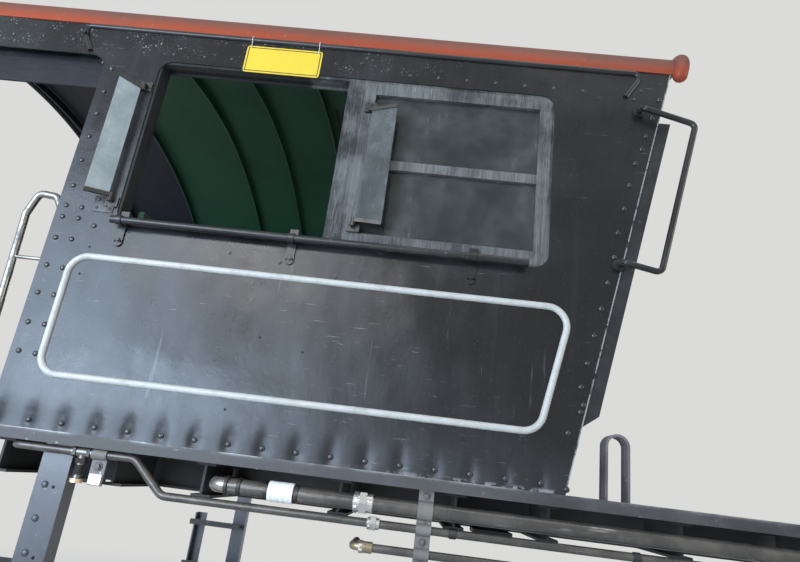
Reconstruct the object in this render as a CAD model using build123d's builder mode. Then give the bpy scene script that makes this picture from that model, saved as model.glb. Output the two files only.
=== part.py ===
from build123d import *
import math
import os

# Cab of a steam locomotive, taken off the boiler: side sheets, slanted front sheet, arched roof, deck,
# windows, wind wings, front doors, seats, steps, grab irons and the pipes that hang under the right sill.
# Frame, in millimetres: +X forward, +Y to the locomotive's left, +Z up. The origin lies on the underside of
# the four mounting pads, midway along the foot of the side sheets, on the centre line.
# Most pieces are drawn for the right side, at -Y, and mirrored to the left.

os.makedirs("parts", exist_ok=True)

# Plates and the shell
CAB_WIDTH = 3050.0          # over the outer faces of the side sheets
SHEET_LENGTH = 2224.0       # foot of a side sheet
SHEET_T = 6.0
SLANT = 12.6                # degrees that the front leans forward at the top
ANGLE_T = 8.0               # thickness of the angles behind the sheets

# Deck
PAD_T = 16.0
PAD_SIZE = 160.0
PAD_X = 900.0               # pads stand this far ahead of and behind the origin
PAD_Y = 1125.0
PAD_BORE_R = 13.0
BEAM_H = 127.0
BEAM_W = 76.0
BEAM_T = 10.0
STRINGER_Y = 1045.0
PLANK_T = 44.0
PLANK_GAP = 4.0
PLANK_COUNT = 18
SILL_T = 10.0
SILL_FOOT = 150.0
FOOT_ANGLE_H = 75.0
FIREBOX_W = 2000.0          # clear width for the boiler
BACKHEAD_X = -100.0         # the short planks end here
BEAM_SETBACK = 75.0         # beam ends stand this far inside the side sheets
BOARD_LENGTH = 1060.0       # running board ahead of the cab
BOARD_T = 8.0

# Roof
ROOF_T = 5.0
EAVE_H = 1896.0             # foot of the roof skirt above the deck
SKIRT_H = 20.0
EAVE_R = 130.0
ROOF_RISE = 445.0           # crown above the top of the skirt
ROOF_REAR = 1340.0          # overhang behind the side sheets
ROOF_FRONT = 40.0           # overhang ahead of the front sheet
BOW_R = 33.0                # bead along the front edge
REAR_BOW_R = 20.0
RIB_DEPTH = 50.0
RIB_T = 8.0
EAVE_BOARD_W = 338.0        # boards inside the overhang, below the eave
EAVE_BOARD_T = 12.0
EAVE_BOARD_DROP = 30.0
HATCH_L = 600.0
HATCH_W = 700.0
HATCH_X = 50.0
HATCH_LAP = 40.0
HATCH_T = 5.0
HATCH_TRAVEL = 600.0
RUNNER_H = 22.0
RUNNER_W = 24.0

# Side sheet openings and trim, heights above the deck
LETTER_W = 193.0            # letterboard below the eave
LETTER_R = 75.0
WINDOW_SETBACK = 267.0      # from the rear edge of the sheet
WINDOW_W = 1858.0
WINDOW_SILL_H = 878.0
WINDOW_H = 842.0
WINDOW_R = 65.0
DRIP_H = 1883.0
DRIP_R = 13.0
PANEL_X = -977.0            # rear side of the number panel's bead
PANEL_FOOT_H = 213.0
PANEL_H = 502.0
PANEL_W = 1982.0
PANEL_R = 80.0
BEAD_R = 14.0
FIN_W = 53.0                # corner strip ahead of the side sheet
FIN_LAP = 60.0
FIN_FOOT_H = 252.0
FIN_TOP_H = 1633.0
FIN_CHAMFER = 46.0
POST_LEG = 75.0

# Windows
FRAME_LAP = 45.0
FRAME_D = 84.0
REVEAL = 12.0
SASH_T = 32.0
SASH_GAP = 6.0
SASH_W = 930.0
SASH_PLAY = 5.0
SEAT_PLAY = 0.3
GROOVE_D = 12.0
GROOVE_PLAY = 4.0
MULLION_X = 60.0
MULLION_W = 80.0
STILE_W = 53.0
RAIL_W = 60.0
MUNTIN_H = 1267.0
MUNTIN_W = 45.0
LIP_T = 18.0
PANE_T = 5.0
PANE_LAP = 8.0

# Wind wings
WING_PANE_T = 6.0
WING_STANDOFF = 24.0
WING_FOOT_H = 997.0
WING_H = 546.0
WING_FLARE = 14.0           # the free edge is longer at each end by this
WING_CLIP_W = 14.0
WING_CLIP_H = 18.0
WING_SLOT = 8.0
WING_EYE_R = 9.0
WING_PIN_R = 5.0
PIN_PLAY = 0.3
BRACKET_W = 56.0
BRACKET_H = 46.0
BRACKET_T = 6.0
LUG_T = 10.0

# Sill rail and grab irons
RAIL_R = 16.0
RAIL_STANDOFF = 42.0
RAIL_H = 877.0
GRAB_R = 13.0
GRAB_STANDOFF = 45.0
GRAB_BOSS_R = 26.0
GRAB_BOSS_T = 10.0
REAR_GRAB_R = 16.0

# Front doors, measured along the slant
DOOR_W = 380.0              # opening
DOOR_FOOT = 290.0           # an open door clears the step irons
DOOR_H = 1350.0
HINGE_INSET = 220.0
DOOR_EDGE = 1455.0          # hinge side of the opening from the centre line
DOOR_T = 28.0
DOOR_PROUD = 2.0
DOOR_GAP = 5.0
JAMB_D = 30.0
LIGHT_W = 230.0
LIGHT_H = 620.0
LIGHT_FOOT = 590.0
LIGHT_R = 30.0
BARREL_R = 10.0
BARREL_L = 60.0
HINGE_PIN_R = 5.0
HINGE_PLAY = 1.0
HINGE_LUG_WALL = 2.0
FIREBOX_STRAIGHT = 700.0
FIREBOX_FLANGE = 50.0

# Seats
SEAT_X = -800.0
SEAT_L = 740.0
SEAT_INNER_Y = 1000.0
SEAT_OUTER_Y = 1505.0
SEAT_BOX_H = 430.0
SEAT_WALL = 22.0
LID_HINGE_Y = 1440.0
LID_X = -715.0
LID_T = 25.0
CUSHION_T = 80.0
CUSHION_SETBACK = 60.0
CUSHION_MARGIN = 12.0
BACK_H = 980.0
BACK_T = 25.0
BACK_PAD_T = 50.0
BACK_PAD_FOOT_H = 560.0
LID_PIN_R = 5.0
LID_BARREL_R = 9.0

# Steps below the deck
STEP_FACE_Y = 1475.0
HANGER_T = 10.0
HANGER_W = 118.0
HANGER_FLANGE = 75.0
HANGER_X = -882.0
REAR_HANGER_W = 75.0
STEP_W = 420.0
TREAD_D = 200.0
TREAD_T = 8.0
TREAD_LIP = 40.0
STEP_FOOT_Z = -1000.0

# Pipes under the right sill
PIPE_Y = 1507.0
LARGE_PIPE_R = 28.0
SMALL_PIPE_R = 15.0
LARGE_PIPE_Z = 72.0
MIDDLE_PIPE_Z = 6.0
LOWER_PIPE_Z = -76.0
LOOP_PIPE_Z = 124.0
CLAMP_WALL = 6.0
CLAMP_W = 56.0
HANGER_BAR_T = 10.0

# Sign
SIGN_W = 364.0
SIGN_H = 147.0
SIGN_T = 2.0
SIGN_X = -451.0
SIGN_DROP = 20.0            # below the drip rail

# Worked out from the sizes above
HALF_W = CAB_WIDTH / 2
INNER_Y = HALF_W - SHEET_T
REAR_X = -SHEET_LENGTH / 2
FRONT_X = SHEET_LENGTH / 2
BEAM_TOP = PAD_T + BEAM_H
DECK_Z = BEAM_TOP + PLANK_T
SHEET_FOOT_Z = BEAM_TOP + SILL_T
SKIRT_Z = DECK_Z + EAVE_H
EAVE_Z = SKIRT_Z + SKIRT_H
ROOF_HALF_W = HALF_W + ROOF_T
LETTER_Z = EAVE_Z - LETTER_W
BOARD_END_X = FRONT_X + BOARD_LENGTH
ROOF_REAR_X = REAR_X - ROOF_REAR
LETTER_REAR_X = ROOF_REAR_X + REAR_BOW_R
SLOPE = math.tan(math.radians(SLANT))
SLANT_COS = math.cos(math.radians(SLANT))
SLANT_SIN = math.sin(math.radians(SLANT))
WINDOW_X0 = REAR_X + WINDOW_SETBACK
WINDOW_Z0 = DECK_Z + WINDOW_SILL_H
SILL_INNER_Y = HALF_W + SILL_T - SILL_FOOT
BEAM_END_Y = HALF_W - BEAM_SETBACK


def front_x(z):
    """Front edge of the side sheet at height z."""
    return FRONT_X + (z - DECK_Z) * SLOPE


# Plane of the cab's front: local x runs along +Y, local y up the slant, normal forward
front_plane = Plane(origin=(FRONT_X, 0, DECK_Z), x_dir=(0, 1, 0), z_dir=(SLANT_COS, 0, -SLANT_SIN))
roof_front = front_plane.offset(ROOF_FRONT)


def crown_radius(half, rise, corner):
    """Radius of the crown arc that runs smoothly into two corner arcs."""
    return ((half - corner) ** 2 + rise ** 2 - corner ** 2) / (2 * (rise - corner))


def bow_line(half, foot, eave, rise, corner):
    """Skirts, corner arcs and crown arc of the roof, drawn from one foot to the other."""
    crown = crown_radius(half, rise, corner)
    centre = eave + rise - crown
    turn = math.atan2(eave - centre, half - corner)
    reach_x, reach_y = crown * math.cos(turn), centre + crown * math.sin(turn)
    mid_x = half - corner + corner * math.cos(turn / 2)
    mid_y = eave + corner * math.sin(turn / 2)
    Line((-half, foot), (-half, eave))
    ThreePointArc((-half, eave), (-mid_x, mid_y), (-reach_x, reach_y))
    ThreePointArc((-reach_x, reach_y), (0, eave + rise), (reach_x, reach_y))
    ThreePointArc((reach_x, reach_y), (mid_x, mid_y), (half, eave))
    Line((half, eave), (half, foot))


def roof_section(inset, foot, mode=Mode.ADD):
    """Closed section under the roof line, inset from its outer face."""
    half = ROOF_HALF_W - inset
    with BuildLine() as section:
        bow_line(half, foot, EAVE_Z, ROOF_RISE - inset, EAVE_R - inset)
        Line((half, foot), (-half, foot))
    make_face(section.edges(), mode=mode)


def i_section(width, height, web):
    """Rolled beam section centred on the local origin."""
    flute = (width - web) / 2
    Rectangle(width, height)
    with Locations((-(web + flute) / 2, 0), ((web + flute) / 2, 0)):
        Rectangle(flute, height - 2 * web, mode=Mode.SUBTRACT)


# Deck frame: stringers beside the firebox with four pads, beams across the rear, outriggers to the sills
FULL_BEAMS_X = (-1060.0, -600.0, -250.0)
OUTRIGGERS_X = (280.0, 720.0, 1070.0, 1560.0, 2110.0)
beam_z = PAD_T + BEAM_H / 2
stringer_in_y = STRINGER_Y - BEAM_W / 2
stringer_out_y = STRINGER_Y + BEAM_W / 2

with BuildPart() as deck_stringers:
    with BuildSketch(Plane.YZ.offset(REAR_X + 30)):
        for side in (-1, 1):
            with Locations((side * STRINGER_Y, beam_z)):
                i_section(BEAM_W, BEAM_H, BEAM_T)
    extrude(amount=BOARD_END_X - REAR_X - 30)
    with BuildSketch(Plane.XY):
        with GridLocations(2 * PAD_X, 2 * PAD_Y, 2, 2):
            Rectangle(PAD_SIZE, PAD_SIZE)
    extrude(amount=PAD_T)
    with BuildSketch(Plane.XY):
        with GridLocations(2 * PAD_X, 2 * PAD_Y, 2, 2):
            Circle(PAD_BORE_R)
    extrude(amount=PAD_T, mode=Mode.SUBTRACT)
deck_stringers.part.label = "deck_stringers"
export_step(deck_stringers.part, "parts/deck_stringers.step")


def beam_run(stations, y0, y1):
    """Beams across the cab at the given stations, from y0 to y1."""
    with BuildSketch(Plane.XZ.offset(-y0)) as ends:
        for x in stations:
            with Locations((x, beam_z)):
                i_section(BEAM_W, BEAM_H, BEAM_T)
    extrude(ends.sketch, amount=y0 - y1)


with BuildPart() as deck_beams:
    beam_run(FULL_BEAMS_X, -BEAM_END_Y, -stringer_out_y)
    beam_run(FULL_BEAMS_X, -stringer_in_y, stringer_in_y)
    beam_run(FULL_BEAMS_X, stringer_out_y, BEAM_END_Y)
deck_beams.part.label = "deck_beams"
export_step(deck_beams.part, "parts/deck_beams.step")

with BuildPart() as deck_outriggers:
    beam_run(OUTRIGGERS_X, -BEAM_END_Y, -stringer_out_y)
    beam_run(OUTRIGGERS_X, stringer_out_y, BEAM_END_Y)
deck_outriggers.part.label = "deck_outriggers"
export_step(deck_outriggers.part, "parts/deck_outriggers.step")

# Side sills: outer leg that shows as a band, foot on the beams, inner leg behind the side sheet
with BuildPart() as side_sills:
    with BuildSketch(Plane.YZ.offset(REAR_X)):
        with BuildLine():
            Polyline(
                (-HALF_W - SILL_T, BEAM_TOP),
                (-SILL_INNER_Y, BEAM_TOP),
                (-SILL_INNER_Y, BEAM_TOP + SILL_T),
                (-HALF_W, BEAM_TOP + SILL_T),
                (-HALF_W, DECK_Z),
                (-HALF_W - SILL_T, DECK_Z),
                close=True,
            )
        make_face()
    extrude(amount=BOARD_END_X - REAR_X)
    with BuildSketch(Plane.XZ.offset(INNER_Y)):
        with BuildLine():
            Polyline(
                (REAR_X + POST_LEG, SHEET_FOOT_Z),
                (front_x(SHEET_FOOT_Z) - FIN_LAP, SHEET_FOOT_Z),
                (front_x(SHEET_FOOT_Z + FOOT_ANGLE_H) - FIN_LAP, SHEET_FOOT_Z + FOOT_ANGLE_H),
                (REAR_X + POST_LEG, SHEET_FOOT_Z + FOOT_ANGLE_H),
                close=True,
            )
        make_face()
    extrude(amount=-ANGLE_T)
    mirror(about=Plane.XZ)
side_sills.part.label = "side_sills"
export_step(side_sills.part, "parts/side_sills.step")

# Deck planks, laid fore and aft; those ahead of the backhead are left out to clear the boiler
plank_pitch = 2 * SILL_INNER_Y / PLANK_COUNT
plank_w = plank_pitch - PLANK_GAP
with BuildPart() as deck_planks:
    with BuildSketch(Plane.XY.offset(BEAM_TOP)):
        for index in range(PLANK_COUNT):
            y = (index - (PLANK_COUNT - 1) / 2) * plank_pitch
            clears_boiler = abs(y) - plank_w / 2 > STRINGER_Y
            plank_end = FRONT_X - SHEET_T if clears_boiler or abs(y) > STRINGER_Y else BACKHEAD_X
            with Locations(((REAR_X + plank_end) / 2, y)):
                Rectangle(plank_end - REAR_X, plank_w)
    extrude(amount=PLANK_T)
deck_planks.part.label = "deck_planks"
export_step(deck_planks.part, "parts/deck_planks.step")

# Running boards ahead of the cab: plate on the sill's foot, hemmed down to the stringer
board_z = BEAM_TOP + SILL_T
board_inner_y = stringer_in_y
with BuildPart() as running_boards:
    with BuildSketch(Plane.YZ.offset(FRONT_X)):
        with BuildLine():
            Polyline(
                (-HALF_W, board_z),
                (-HALF_W, board_z + BOARD_T),
                (-board_inner_y, board_z + BOARD_T),
                (-board_inner_y, BEAM_TOP),
                (-board_inner_y - BOARD_T, BEAM_TOP),
                (-board_inner_y - BOARD_T, board_z),
                close=True,
            )
        make_face()
    extrude(amount=BOARD_LENGTH)
    mirror(about=Plane.XZ)
running_boards.part.label = "running_boards"
export_step(running_boards.part, "parts/running_boards.step")

# Step irons: straps bent to a stirrup that stands on the edge of each running board
STEP_IRON_X = 1305.0
STEP_IRON_W = 92.0
STEP_IRON_H = 269.0
STEP_IRON_STRAP = 75.0
STEP_IRON_T = 10.0
STEP_IRON_EDGE = 12.0
with BuildPart() as step_irons:
    with BuildSketch(Plane.XZ.offset(HALF_W - STEP_IRON_EDGE)):
        with Locations((STEP_IRON_X, board_z + BOARD_T)):
            SlotOverall(2 * STEP_IRON_H, STEP_IRON_W, rotation=90)
            SlotOverall(
                2 * STEP_IRON_H - 2 * STEP_IRON_T, STEP_IRON_W - 2 * STEP_IRON_T, rotation=90, mode=Mode.SUBTRACT
            )
        with Locations((STEP_IRON_X, board_z + BOARD_T - STEP_IRON_H)):
            Rectangle(2 * STEP_IRON_W, 2 * STEP_IRON_H, mode=Mode.SUBTRACT)
    extrude(amount=-STEP_IRON_STRAP)
    mirror(about=Plane.XZ)
step_irons.part.label = "step_irons"
export_step(step_irons.part, "parts/step_irons.step")

# Side sheet: slanted front edge, window, letterboard carried back under the roof
with BuildPart() as side_sheet_right:
    with BuildSketch(Plane.XZ.offset(HALF_W)) as sheet_outline:
        with BuildLine():
            Polyline(
                (REAR_X, SHEET_FOOT_Z),
                (front_x(SHEET_FOOT_Z), SHEET_FOOT_Z),
                (front_x(EAVE_Z), EAVE_Z),
                (LETTER_REAR_X, EAVE_Z),
                (LETTER_REAR_X, LETTER_Z),
                (REAR_X, LETTER_Z),
                close=True,
            )
        make_face()
        fillet(sheet_outline.vertices().sort_by_distance((REAR_X, LETTER_Z, 0))[0], LETTER_R)
        with Locations((WINDOW_X0 + WINDOW_W / 2, WINDOW_Z0 + WINDOW_H / 2)):
            RectangleRounded(WINDOW_W, WINDOW_H, WINDOW_R, mode=Mode.SUBTRACT)
    extrude(amount=-SHEET_T)
side_sheet_right.part.label = "side_sheet_right"
export_step(side_sheet_right.part, "parts/side_sheet_right.step")

with BuildPart() as side_sheet_left:
    mirror(side_sheet_right.part, about=Plane.XZ)
side_sheet_left.part.label = "side_sheet_left"
export_step(side_sheet_left.part, "parts/side_sheet_left.step")

# Rear posts: angles inside the rear edges, up to the rib over them
rib_foot_z = WINDOW_Z0 + WINDOW_H + FRAME_LAP
with BuildPart() as rear_posts:
    with BuildSketch(Plane.XY.offset(SHEET_FOOT_Z)):
        with BuildLine():
            Polyline(
                (REAR_X, -INNER_Y),
                (REAR_X + POST_LEG, -INNER_Y),
                (REAR_X + POST_LEG, -INNER_Y + ANGLE_T),
                (REAR_X + ANGLE_T, -INNER_Y + ANGLE_T),
                (REAR_X + ANGLE_T, -INNER_Y + POST_LEG),
                (REAR_X, -INNER_Y + POST_LEG),
                close=True,
            )
        make_face()
    extrude(amount=rib_foot_z - SHEET_FOOT_Z)
    mirror(about=Plane.XZ)
rear_posts.part.label = "rear_posts"
export_step(rear_posts.part, "parts/rear_posts.step")

# Front corner strips: a fin ahead of each side sheet, chamfered at its foot, with a leg behind the front sheet
fin_foot_z = DECK_Z + FIN_FOOT_H
fin_full_z = fin_foot_z + FIN_CHAMFER
fin_top_z = DECK_Z + FIN_TOP_H
with BuildPart() as corner_strips:
    with BuildSketch(Plane.XZ.offset(INNER_Y)):
        with BuildLine():
            Polyline(
                (front_x(SHEET_FOOT_Z) - FIN_LAP, SHEET_FOOT_Z),
                (front_x(SHEET_FOOT_Z), SHEET_FOOT_Z),
                (front_x(fin_foot_z), fin_foot_z),
                (front_x(fin_full_z) + FIN_W, fin_full_z),
                (front_x(fin_top_z) + FIN_W, fin_top_z),
                (front_x(fin_top_z), fin_top_z),
                (front_x(EAVE_Z), EAVE_Z),
                (front_x(EAVE_Z) - FIN_LAP, EAVE_Z),
                close=True,
            )
        make_face()
    extrude(amount=-ANGLE_T)
    leg_w = INNER_Y - DOOR_EDGE - 2 * ANGLE_T
    leg_h = (EAVE_Z - DECK_Z) / SLANT_COS
    with BuildSketch(front_plane.offset(-SHEET_T)):
        with Locations((-INNER_Y + ANGLE_T + leg_w / 2, leg_h / 2)):
            Rectangle(leg_w, leg_h)
    extrude(amount=-ANGLE_T)
    mirror(about=Plane.XZ)
corner_strips.part.label = "corner_strips"
export_step(corner_strips.part, "parts/corner_strips.step")

# Front sheet: slanted plate under the roof, open for the boiler and two doors, with hinge pins
door_x = DOOR_EDGE - DOOR_W / 2
door_y = DOOR_FOOT + DOOR_H / 2
hinge_x = DOOR_EDGE + HINGE_PIN_R + HINGE_LUG_WALL
hinge_z = DOOR_PROUD + BARREL_R
HINGES_Y = (DOOR_FOOT + HINGE_INSET, DOOR_FOOT + DOOR_H - HINGE_INSET)
LUG_W = 2 * BARREL_R
blank_h = (EAVE_Z + ROOF_RISE) / SLANT_COS
with BuildPart() as front_sheet:
    with BuildSketch(front_plane.offset(-SHEET_T)):
        with Locations((0, blank_h / 2)):
            Rectangle(2 * (INNER_Y - ANGLE_T), blank_h)
    extrude(amount=SHEET_T)
    with BuildSketch(Plane.YZ):
        roof_section(ROOF_T, DECK_Z)
    extrude(amount=2 * BOARD_END_X, mode=Mode.INTERSECT)
    with BuildSketch(front_plane.offset(-SHEET_T - FIREBOX_FLANGE)) as boiler_ring:
        Rectangle(FIREBOX_W + 2 * ANGLE_T, 2 * FIREBOX_STRAIGHT)
        with Locations((0, FIREBOX_STRAIGHT)):
            Circle(FIREBOX_W / 2 + ANGLE_T)
        with Locations((0, -FIREBOX_W)):
            Rectangle(2 * FIREBOX_W, 2 * FIREBOX_W, mode=Mode.SUBTRACT)
    extrude(amount=FIREBOX_FLANGE)
    with BuildSketch(front_plane.offset(-SHEET_T - FIREBOX_FLANGE)):
        Rectangle(FIREBOX_W, 2 * FIREBOX_STRAIGHT)
        with Locations((0, FIREBOX_STRAIGHT)):
            Circle(FIREBOX_W / 2)
    extrude(amount=FIREBOX_FLANGE + SHEET_T, mode=Mode.SUBTRACT)
    with BuildSketch(front_plane.offset(-JAMB_D)):
        with Locations((-door_x, door_y), (door_x, door_y)):
            Rectangle(DOOR_W + 2 * ANGLE_T, DOOR_H + 2 * ANGLE_T)
    extrude(amount=JAMB_D - SHEET_T)
    with BuildSketch(front_plane.offset(-JAMB_D)):
        with Locations((-door_x, door_y), (door_x, door_y)):
            Rectangle(DOOR_W, DOOR_H)
    extrude(amount=JAMB_D, mode=Mode.SUBTRACT)
    for side in (-1, 1):
        for hinge_y in HINGES_Y:
            lug_offset = BARREL_L / 2 + HINGE_PLAY
            with BuildSketch(front_plane):
                with Locations(
                    (side * (DOOR_EDGE + LUG_W), hinge_y + lug_offset + LUG_T / 2),
                    (side * (DOOR_EDGE + LUG_W), hinge_y - lug_offset - LUG_T / 2),
                ):
                    Rectangle(2 * LUG_W, LUG_T)
            extrude(amount=hinge_z + BARREL_R)
            pin_plane = Plane(
                origin=front_plane.from_local_coords((side * hinge_x, hinge_y - lug_offset - LUG_T, hinge_z)),
                x_dir=(0, 1, 0),
                z_dir=(SLANT_SIN, 0, SLANT_COS),
            )
            with BuildSketch(pin_plane):
                Circle(HINGE_PIN_R)
            extrude(amount=2 * (lug_offset + LUG_T))
front_sheet.part.label = "front_sheet"
export_step(front_sheet.part, "parts/front_sheet.step")

# Front doors: panelled leaves in the openings, a barrel round each pin, a light in the upper half
for side_name, side in (("right", -1), ("left", 1)):
    leaf_w = DOOR_W - 2 * DOOR_GAP
    leaf_h = DOOR_H - 2 * DOOR_GAP
    with BuildPart() as door:
        with BuildSketch(front_plane.offset(DOOR_PROUD)):
            with Locations((side * door_x, door_y)):
                Rectangle(leaf_w, leaf_h)
        extrude(amount=-DOOR_T)
        light_y = DOOR_FOOT + LIGHT_FOOT + LIGHT_H / 2
        with BuildSketch(front_plane.offset(DOOR_PROUD)):
            with Locations((side * door_x, light_y)):
                RectangleRounded(LIGHT_W, LIGHT_H, LIGHT_R)
        extrude(amount=-DOOR_T, mode=Mode.SUBTRACT)
        with BuildSketch(front_plane.offset(DOOR_PROUD - LIP_T)):
            with Locations((side * door_x, light_y)):
                RectangleRounded(LIGHT_W + 2 * PANE_LAP, LIGHT_H + 2 * PANE_LAP, LIGHT_R + PANE_LAP)
        extrude(amount=-DOOR_T, mode=Mode.SUBTRACT)
        panel_h = LIGHT_FOOT - 3 * RAIL_W
        with BuildSketch(front_plane.offset(DOOR_PROUD)):
            with Locations((side * door_x, DOOR_FOOT + 1.5 * RAIL_W + panel_h / 2)):
                Rectangle(LIGHT_W, panel_h)
        extrude(amount=-PANE_LAP, mode=Mode.SUBTRACT)
        for hinge_y in HINGES_Y:
            barrel_plane = Plane(
                origin=front_plane.from_local_coords((side * hinge_x, hinge_y - BARREL_L / 2, hinge_z)),
                x_dir=(0, 1, 0),
                z_dir=(SLANT_SIN, 0, SLANT_COS),
            )
            with BuildSketch(barrel_plane):
                Circle(BARREL_R)
                with Locations((-side * (BARREL_R + RAIL_W) / 2, BARREL_R - BRACKET_T / 2)):
                    Rectangle(BARREL_R + RAIL_W, BRACKET_T)
                Circle(HINGE_PIN_R + PIN_PLAY, mode=Mode.SUBTRACT)
            extrude(amount=BARREL_L)
    door.part.label = f"front_door_{side_name}"
    export_step(door.part, f"parts/front_door_{side_name}.step")

    with BuildPart() as door_glass:
        with BuildSketch(front_plane.offset(DOOR_PROUD - LIP_T)):
            with Locations((side * door_x, light_y)):
                RectangleRounded(
                    LIGHT_W + 2 * PANE_LAP - 2 * PIN_PLAY,
                    LIGHT_H + 2 * PANE_LAP - 2 * PIN_PLAY,
                    LIGHT_R + PANE_LAP - PIN_PLAY,
                )
        extrude(amount=-PANE_T)
    door_glass.part.label = f"front_door_glass_{side_name}"
    export_step(door_glass.part, f"parts/front_door_glass_{side_name}.step")

# Roof sheet: arched plate with turned-down eaves, cut square behind and along the slant in front, with a
# bead along each end and an opening for the hatch
with BuildPart() as roof_sheet:
    with BuildSketch(Plane.YZ.offset(ROOF_REAR_X)):
        roof_section(0, SKIRT_Z)
        roof_section(ROOF_T, SKIRT_Z - ROOF_T, mode=Mode.SUBTRACT)
    extrude(amount=2 * BOARD_END_X)
    split(bisect_by=roof_front, keep=Keep.BOTTOM)
    with BuildSketch(Plane.XY):
        with Locations((HATCH_X, 0)):
            RectangleRounded(HATCH_L, HATCH_W, LIGHT_R)
    extrude(amount=2 * EAVE_Z, mode=Mode.SUBTRACT)
    lift = DECK_Z - ROOF_FRONT * SLANT_SIN
    with BuildLine(roof_front) as front_bow:
        bow_line(
            ROOF_HALF_W - ROOF_T / 2,
            (SKIRT_Z - lift) / SLANT_COS,
            (EAVE_Z - lift) / SLANT_COS,
            (ROOF_RISE - ROOF_T / 2) / SLANT_COS,
            EAVE_R - ROOF_T / 2,
        )
    with BuildSketch(front_bow.line ^ 0):
        Circle(BOW_R)
    sweep(path=front_bow.line)
    with Locations(front_bow.line @ 0, front_bow.line @ 1):
        Sphere(BOW_R)
    with BuildLine(Plane.YZ.offset(ROOF_REAR_X)) as rear_bow:
        bow_line(
            ROOF_HALF_W - ROOF_T / 2,
            SKIRT_Z,
            EAVE_Z,
            ROOF_RISE - ROOF_T / 2,
            EAVE_R - ROOF_T / 2,
        )
    with BuildSketch(rear_bow.line ^ 0):
        Circle(REAR_BOW_R)
    sweep(path=rear_bow.line)
    with Locations(rear_bow.line @ 0, rear_bow.line @ 1):
        Sphere(REAR_BOW_R)
roof_sheet.part.label = "roof_sheet"
export_step(roof_sheet.part, "parts/roof_sheet.step")

# Roof ribs: flat bars that follow the roof from letterboard to letterboard
RIBS_X = {
    "rear": (-2350.0, -1750.0, REAR_X, -720.0),
    "front": (-300.0, 400.0, 900.0, 1380.0),
}
for rib_group, ribs_x in RIBS_X.items():
    with BuildPart() as ribs:
        for x in ribs_x:
            with BuildSketch(Plane.YZ.offset(x)):
                roof_section(ROOF_T + SHEET_T, rib_foot_z)
                roof_section(ROOF_T + SHEET_T + RIB_DEPTH, rib_foot_z - RIB_T, mode=Mode.SUBTRACT)
            extrude(amount=RIB_T)
    ribs.part.label = f"roof_ribs_{rib_group}"
    export_step(ribs.part, f"parts/roof_ribs_{rib_group}.step")

# Boards inside the overhang, hung on the ribs
eave_board_y = ROOF_HALF_W - ROOF_T - SHEET_T - RIB_DEPTH
with BuildPart() as eave_boards:
    with BuildSketch(Plane.YZ.offset(LETTER_REAR_X)):
        board_h = EAVE_BOARD_W - EAVE_BOARD_DROP
        with Locations((-eave_board_y + EAVE_BOARD_T / 2, EAVE_Z - EAVE_BOARD_W + board_h / 2)):
            Rectangle(EAVE_BOARD_T, board_h)
    extrude(amount=REAR_X - LETTER_REAR_X)
    mirror(about=Plane.XZ)
eave_boards.part.label = "eave_boards"
export_step(eave_boards.part, "parts/eave_boards.step")

# Hatch runners and the sliding hatch over the roof opening
crown_r = crown_radius(ROOF_HALF_W, ROOF_RISE, EAVE_R)
crown_z = EAVE_Z + ROOF_RISE - crown_r
runner_x0 = HATCH_X - HATCH_L / 2 - HATCH_TRAVEL - HATCH_LAP
runner_x1 = HATCH_X + HATCH_L / 2 + HATCH_LAP
RUNNER_Y = HATCH_W / 2 + HATCH_LAP / 2


def roof_band(x, length, low, high, inner_y, outer_y):
    """Strip over the crown between two heights off the roof and two widths."""
    with BuildSketch(Plane.YZ.offset(x)) as band:
        with Locations((0, crown_z)):
            Circle(crown_r + high)
            Circle(crown_r + low, mode=Mode.SUBTRACT)
        with Locations((0, crown_z + crown_r)):
            Rectangle(2 * outer_y, crown_r, mode=Mode.INTERSECT)
            if inner_y > 0:
                Rectangle(2 * inner_y, crown_r, mode=Mode.SUBTRACT)
    extrude(band.sketch, amount=length)


with BuildPart() as hatch_runners:
    roof_band(runner_x0, runner_x1 - runner_x0, 0, RUNNER_H, RUNNER_Y - RUNNER_W / 2, RUNNER_Y + RUNNER_W / 2)
hatch_runners.part.label = "hatch_runners"
export_step(hatch_runners.part, "parts/hatch_runners.step")

hatch_half = RUNNER_Y + RUNNER_W / 2 + DOOR_GAP + HATCH_T
with BuildPart() as roof_hatch:
    roof_band(
        HATCH_X - HATCH_L / 2 - HATCH_LAP,
        HATCH_L + 2 * HATCH_LAP,
        RUNNER_H + SEAT_PLAY,
        RUNNER_H + SEAT_PLAY + HATCH_T,
        0,
        hatch_half,
    )
    roof_band(
        HATCH_X - HATCH_L / 2 - HATCH_LAP,
        HATCH_L + 2 * HATCH_LAP,
        DOOR_GAP,
        RUNNER_H + SEAT_PLAY + HATCH_T,
        hatch_half - HATCH_T,
        hatch_half,
    )
roof_hatch.part.label = "roof_hatch"
export_step(roof_hatch.part, "parts/roof_hatch.step")

# Drip rails: half-round beads along the letterboards, turned down at both ends; heights above the deck
DRIP_POINTS = (
    (-1198.0, 1742.0),
    (-1249.0, 1832.0),
    (-1249.0, DRIP_H),
    (1386.0, DRIP_H),
    (1386.0, 1848.0),
    (1328.0, 1751.0),
)
with BuildPart() as drip_rails:
    with BuildLine(Plane.XZ.offset(HALF_W)) as drip_path:
        FilletPolyline(*[(x, DECK_Z + h) for x, h in DRIP_POINTS], radius=1.5 * DRIP_R)
    with BuildSketch(drip_path.line ^ 0):
        Circle(DRIP_R)
    sweep(path=drip_path.line)
    with BuildSketch(Plane.XZ.offset(HALF_W)):
        Rectangle(4 * FRONT_X, 4 * EAVE_Z)
    extrude(amount=-2 * DRIP_R, mode=Mode.SUBTRACT)
    mirror(about=Plane.XZ)
drip_rails.part.label = "drip_rails"
export_step(drip_rails.part, "parts/drip_rails.step")

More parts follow.
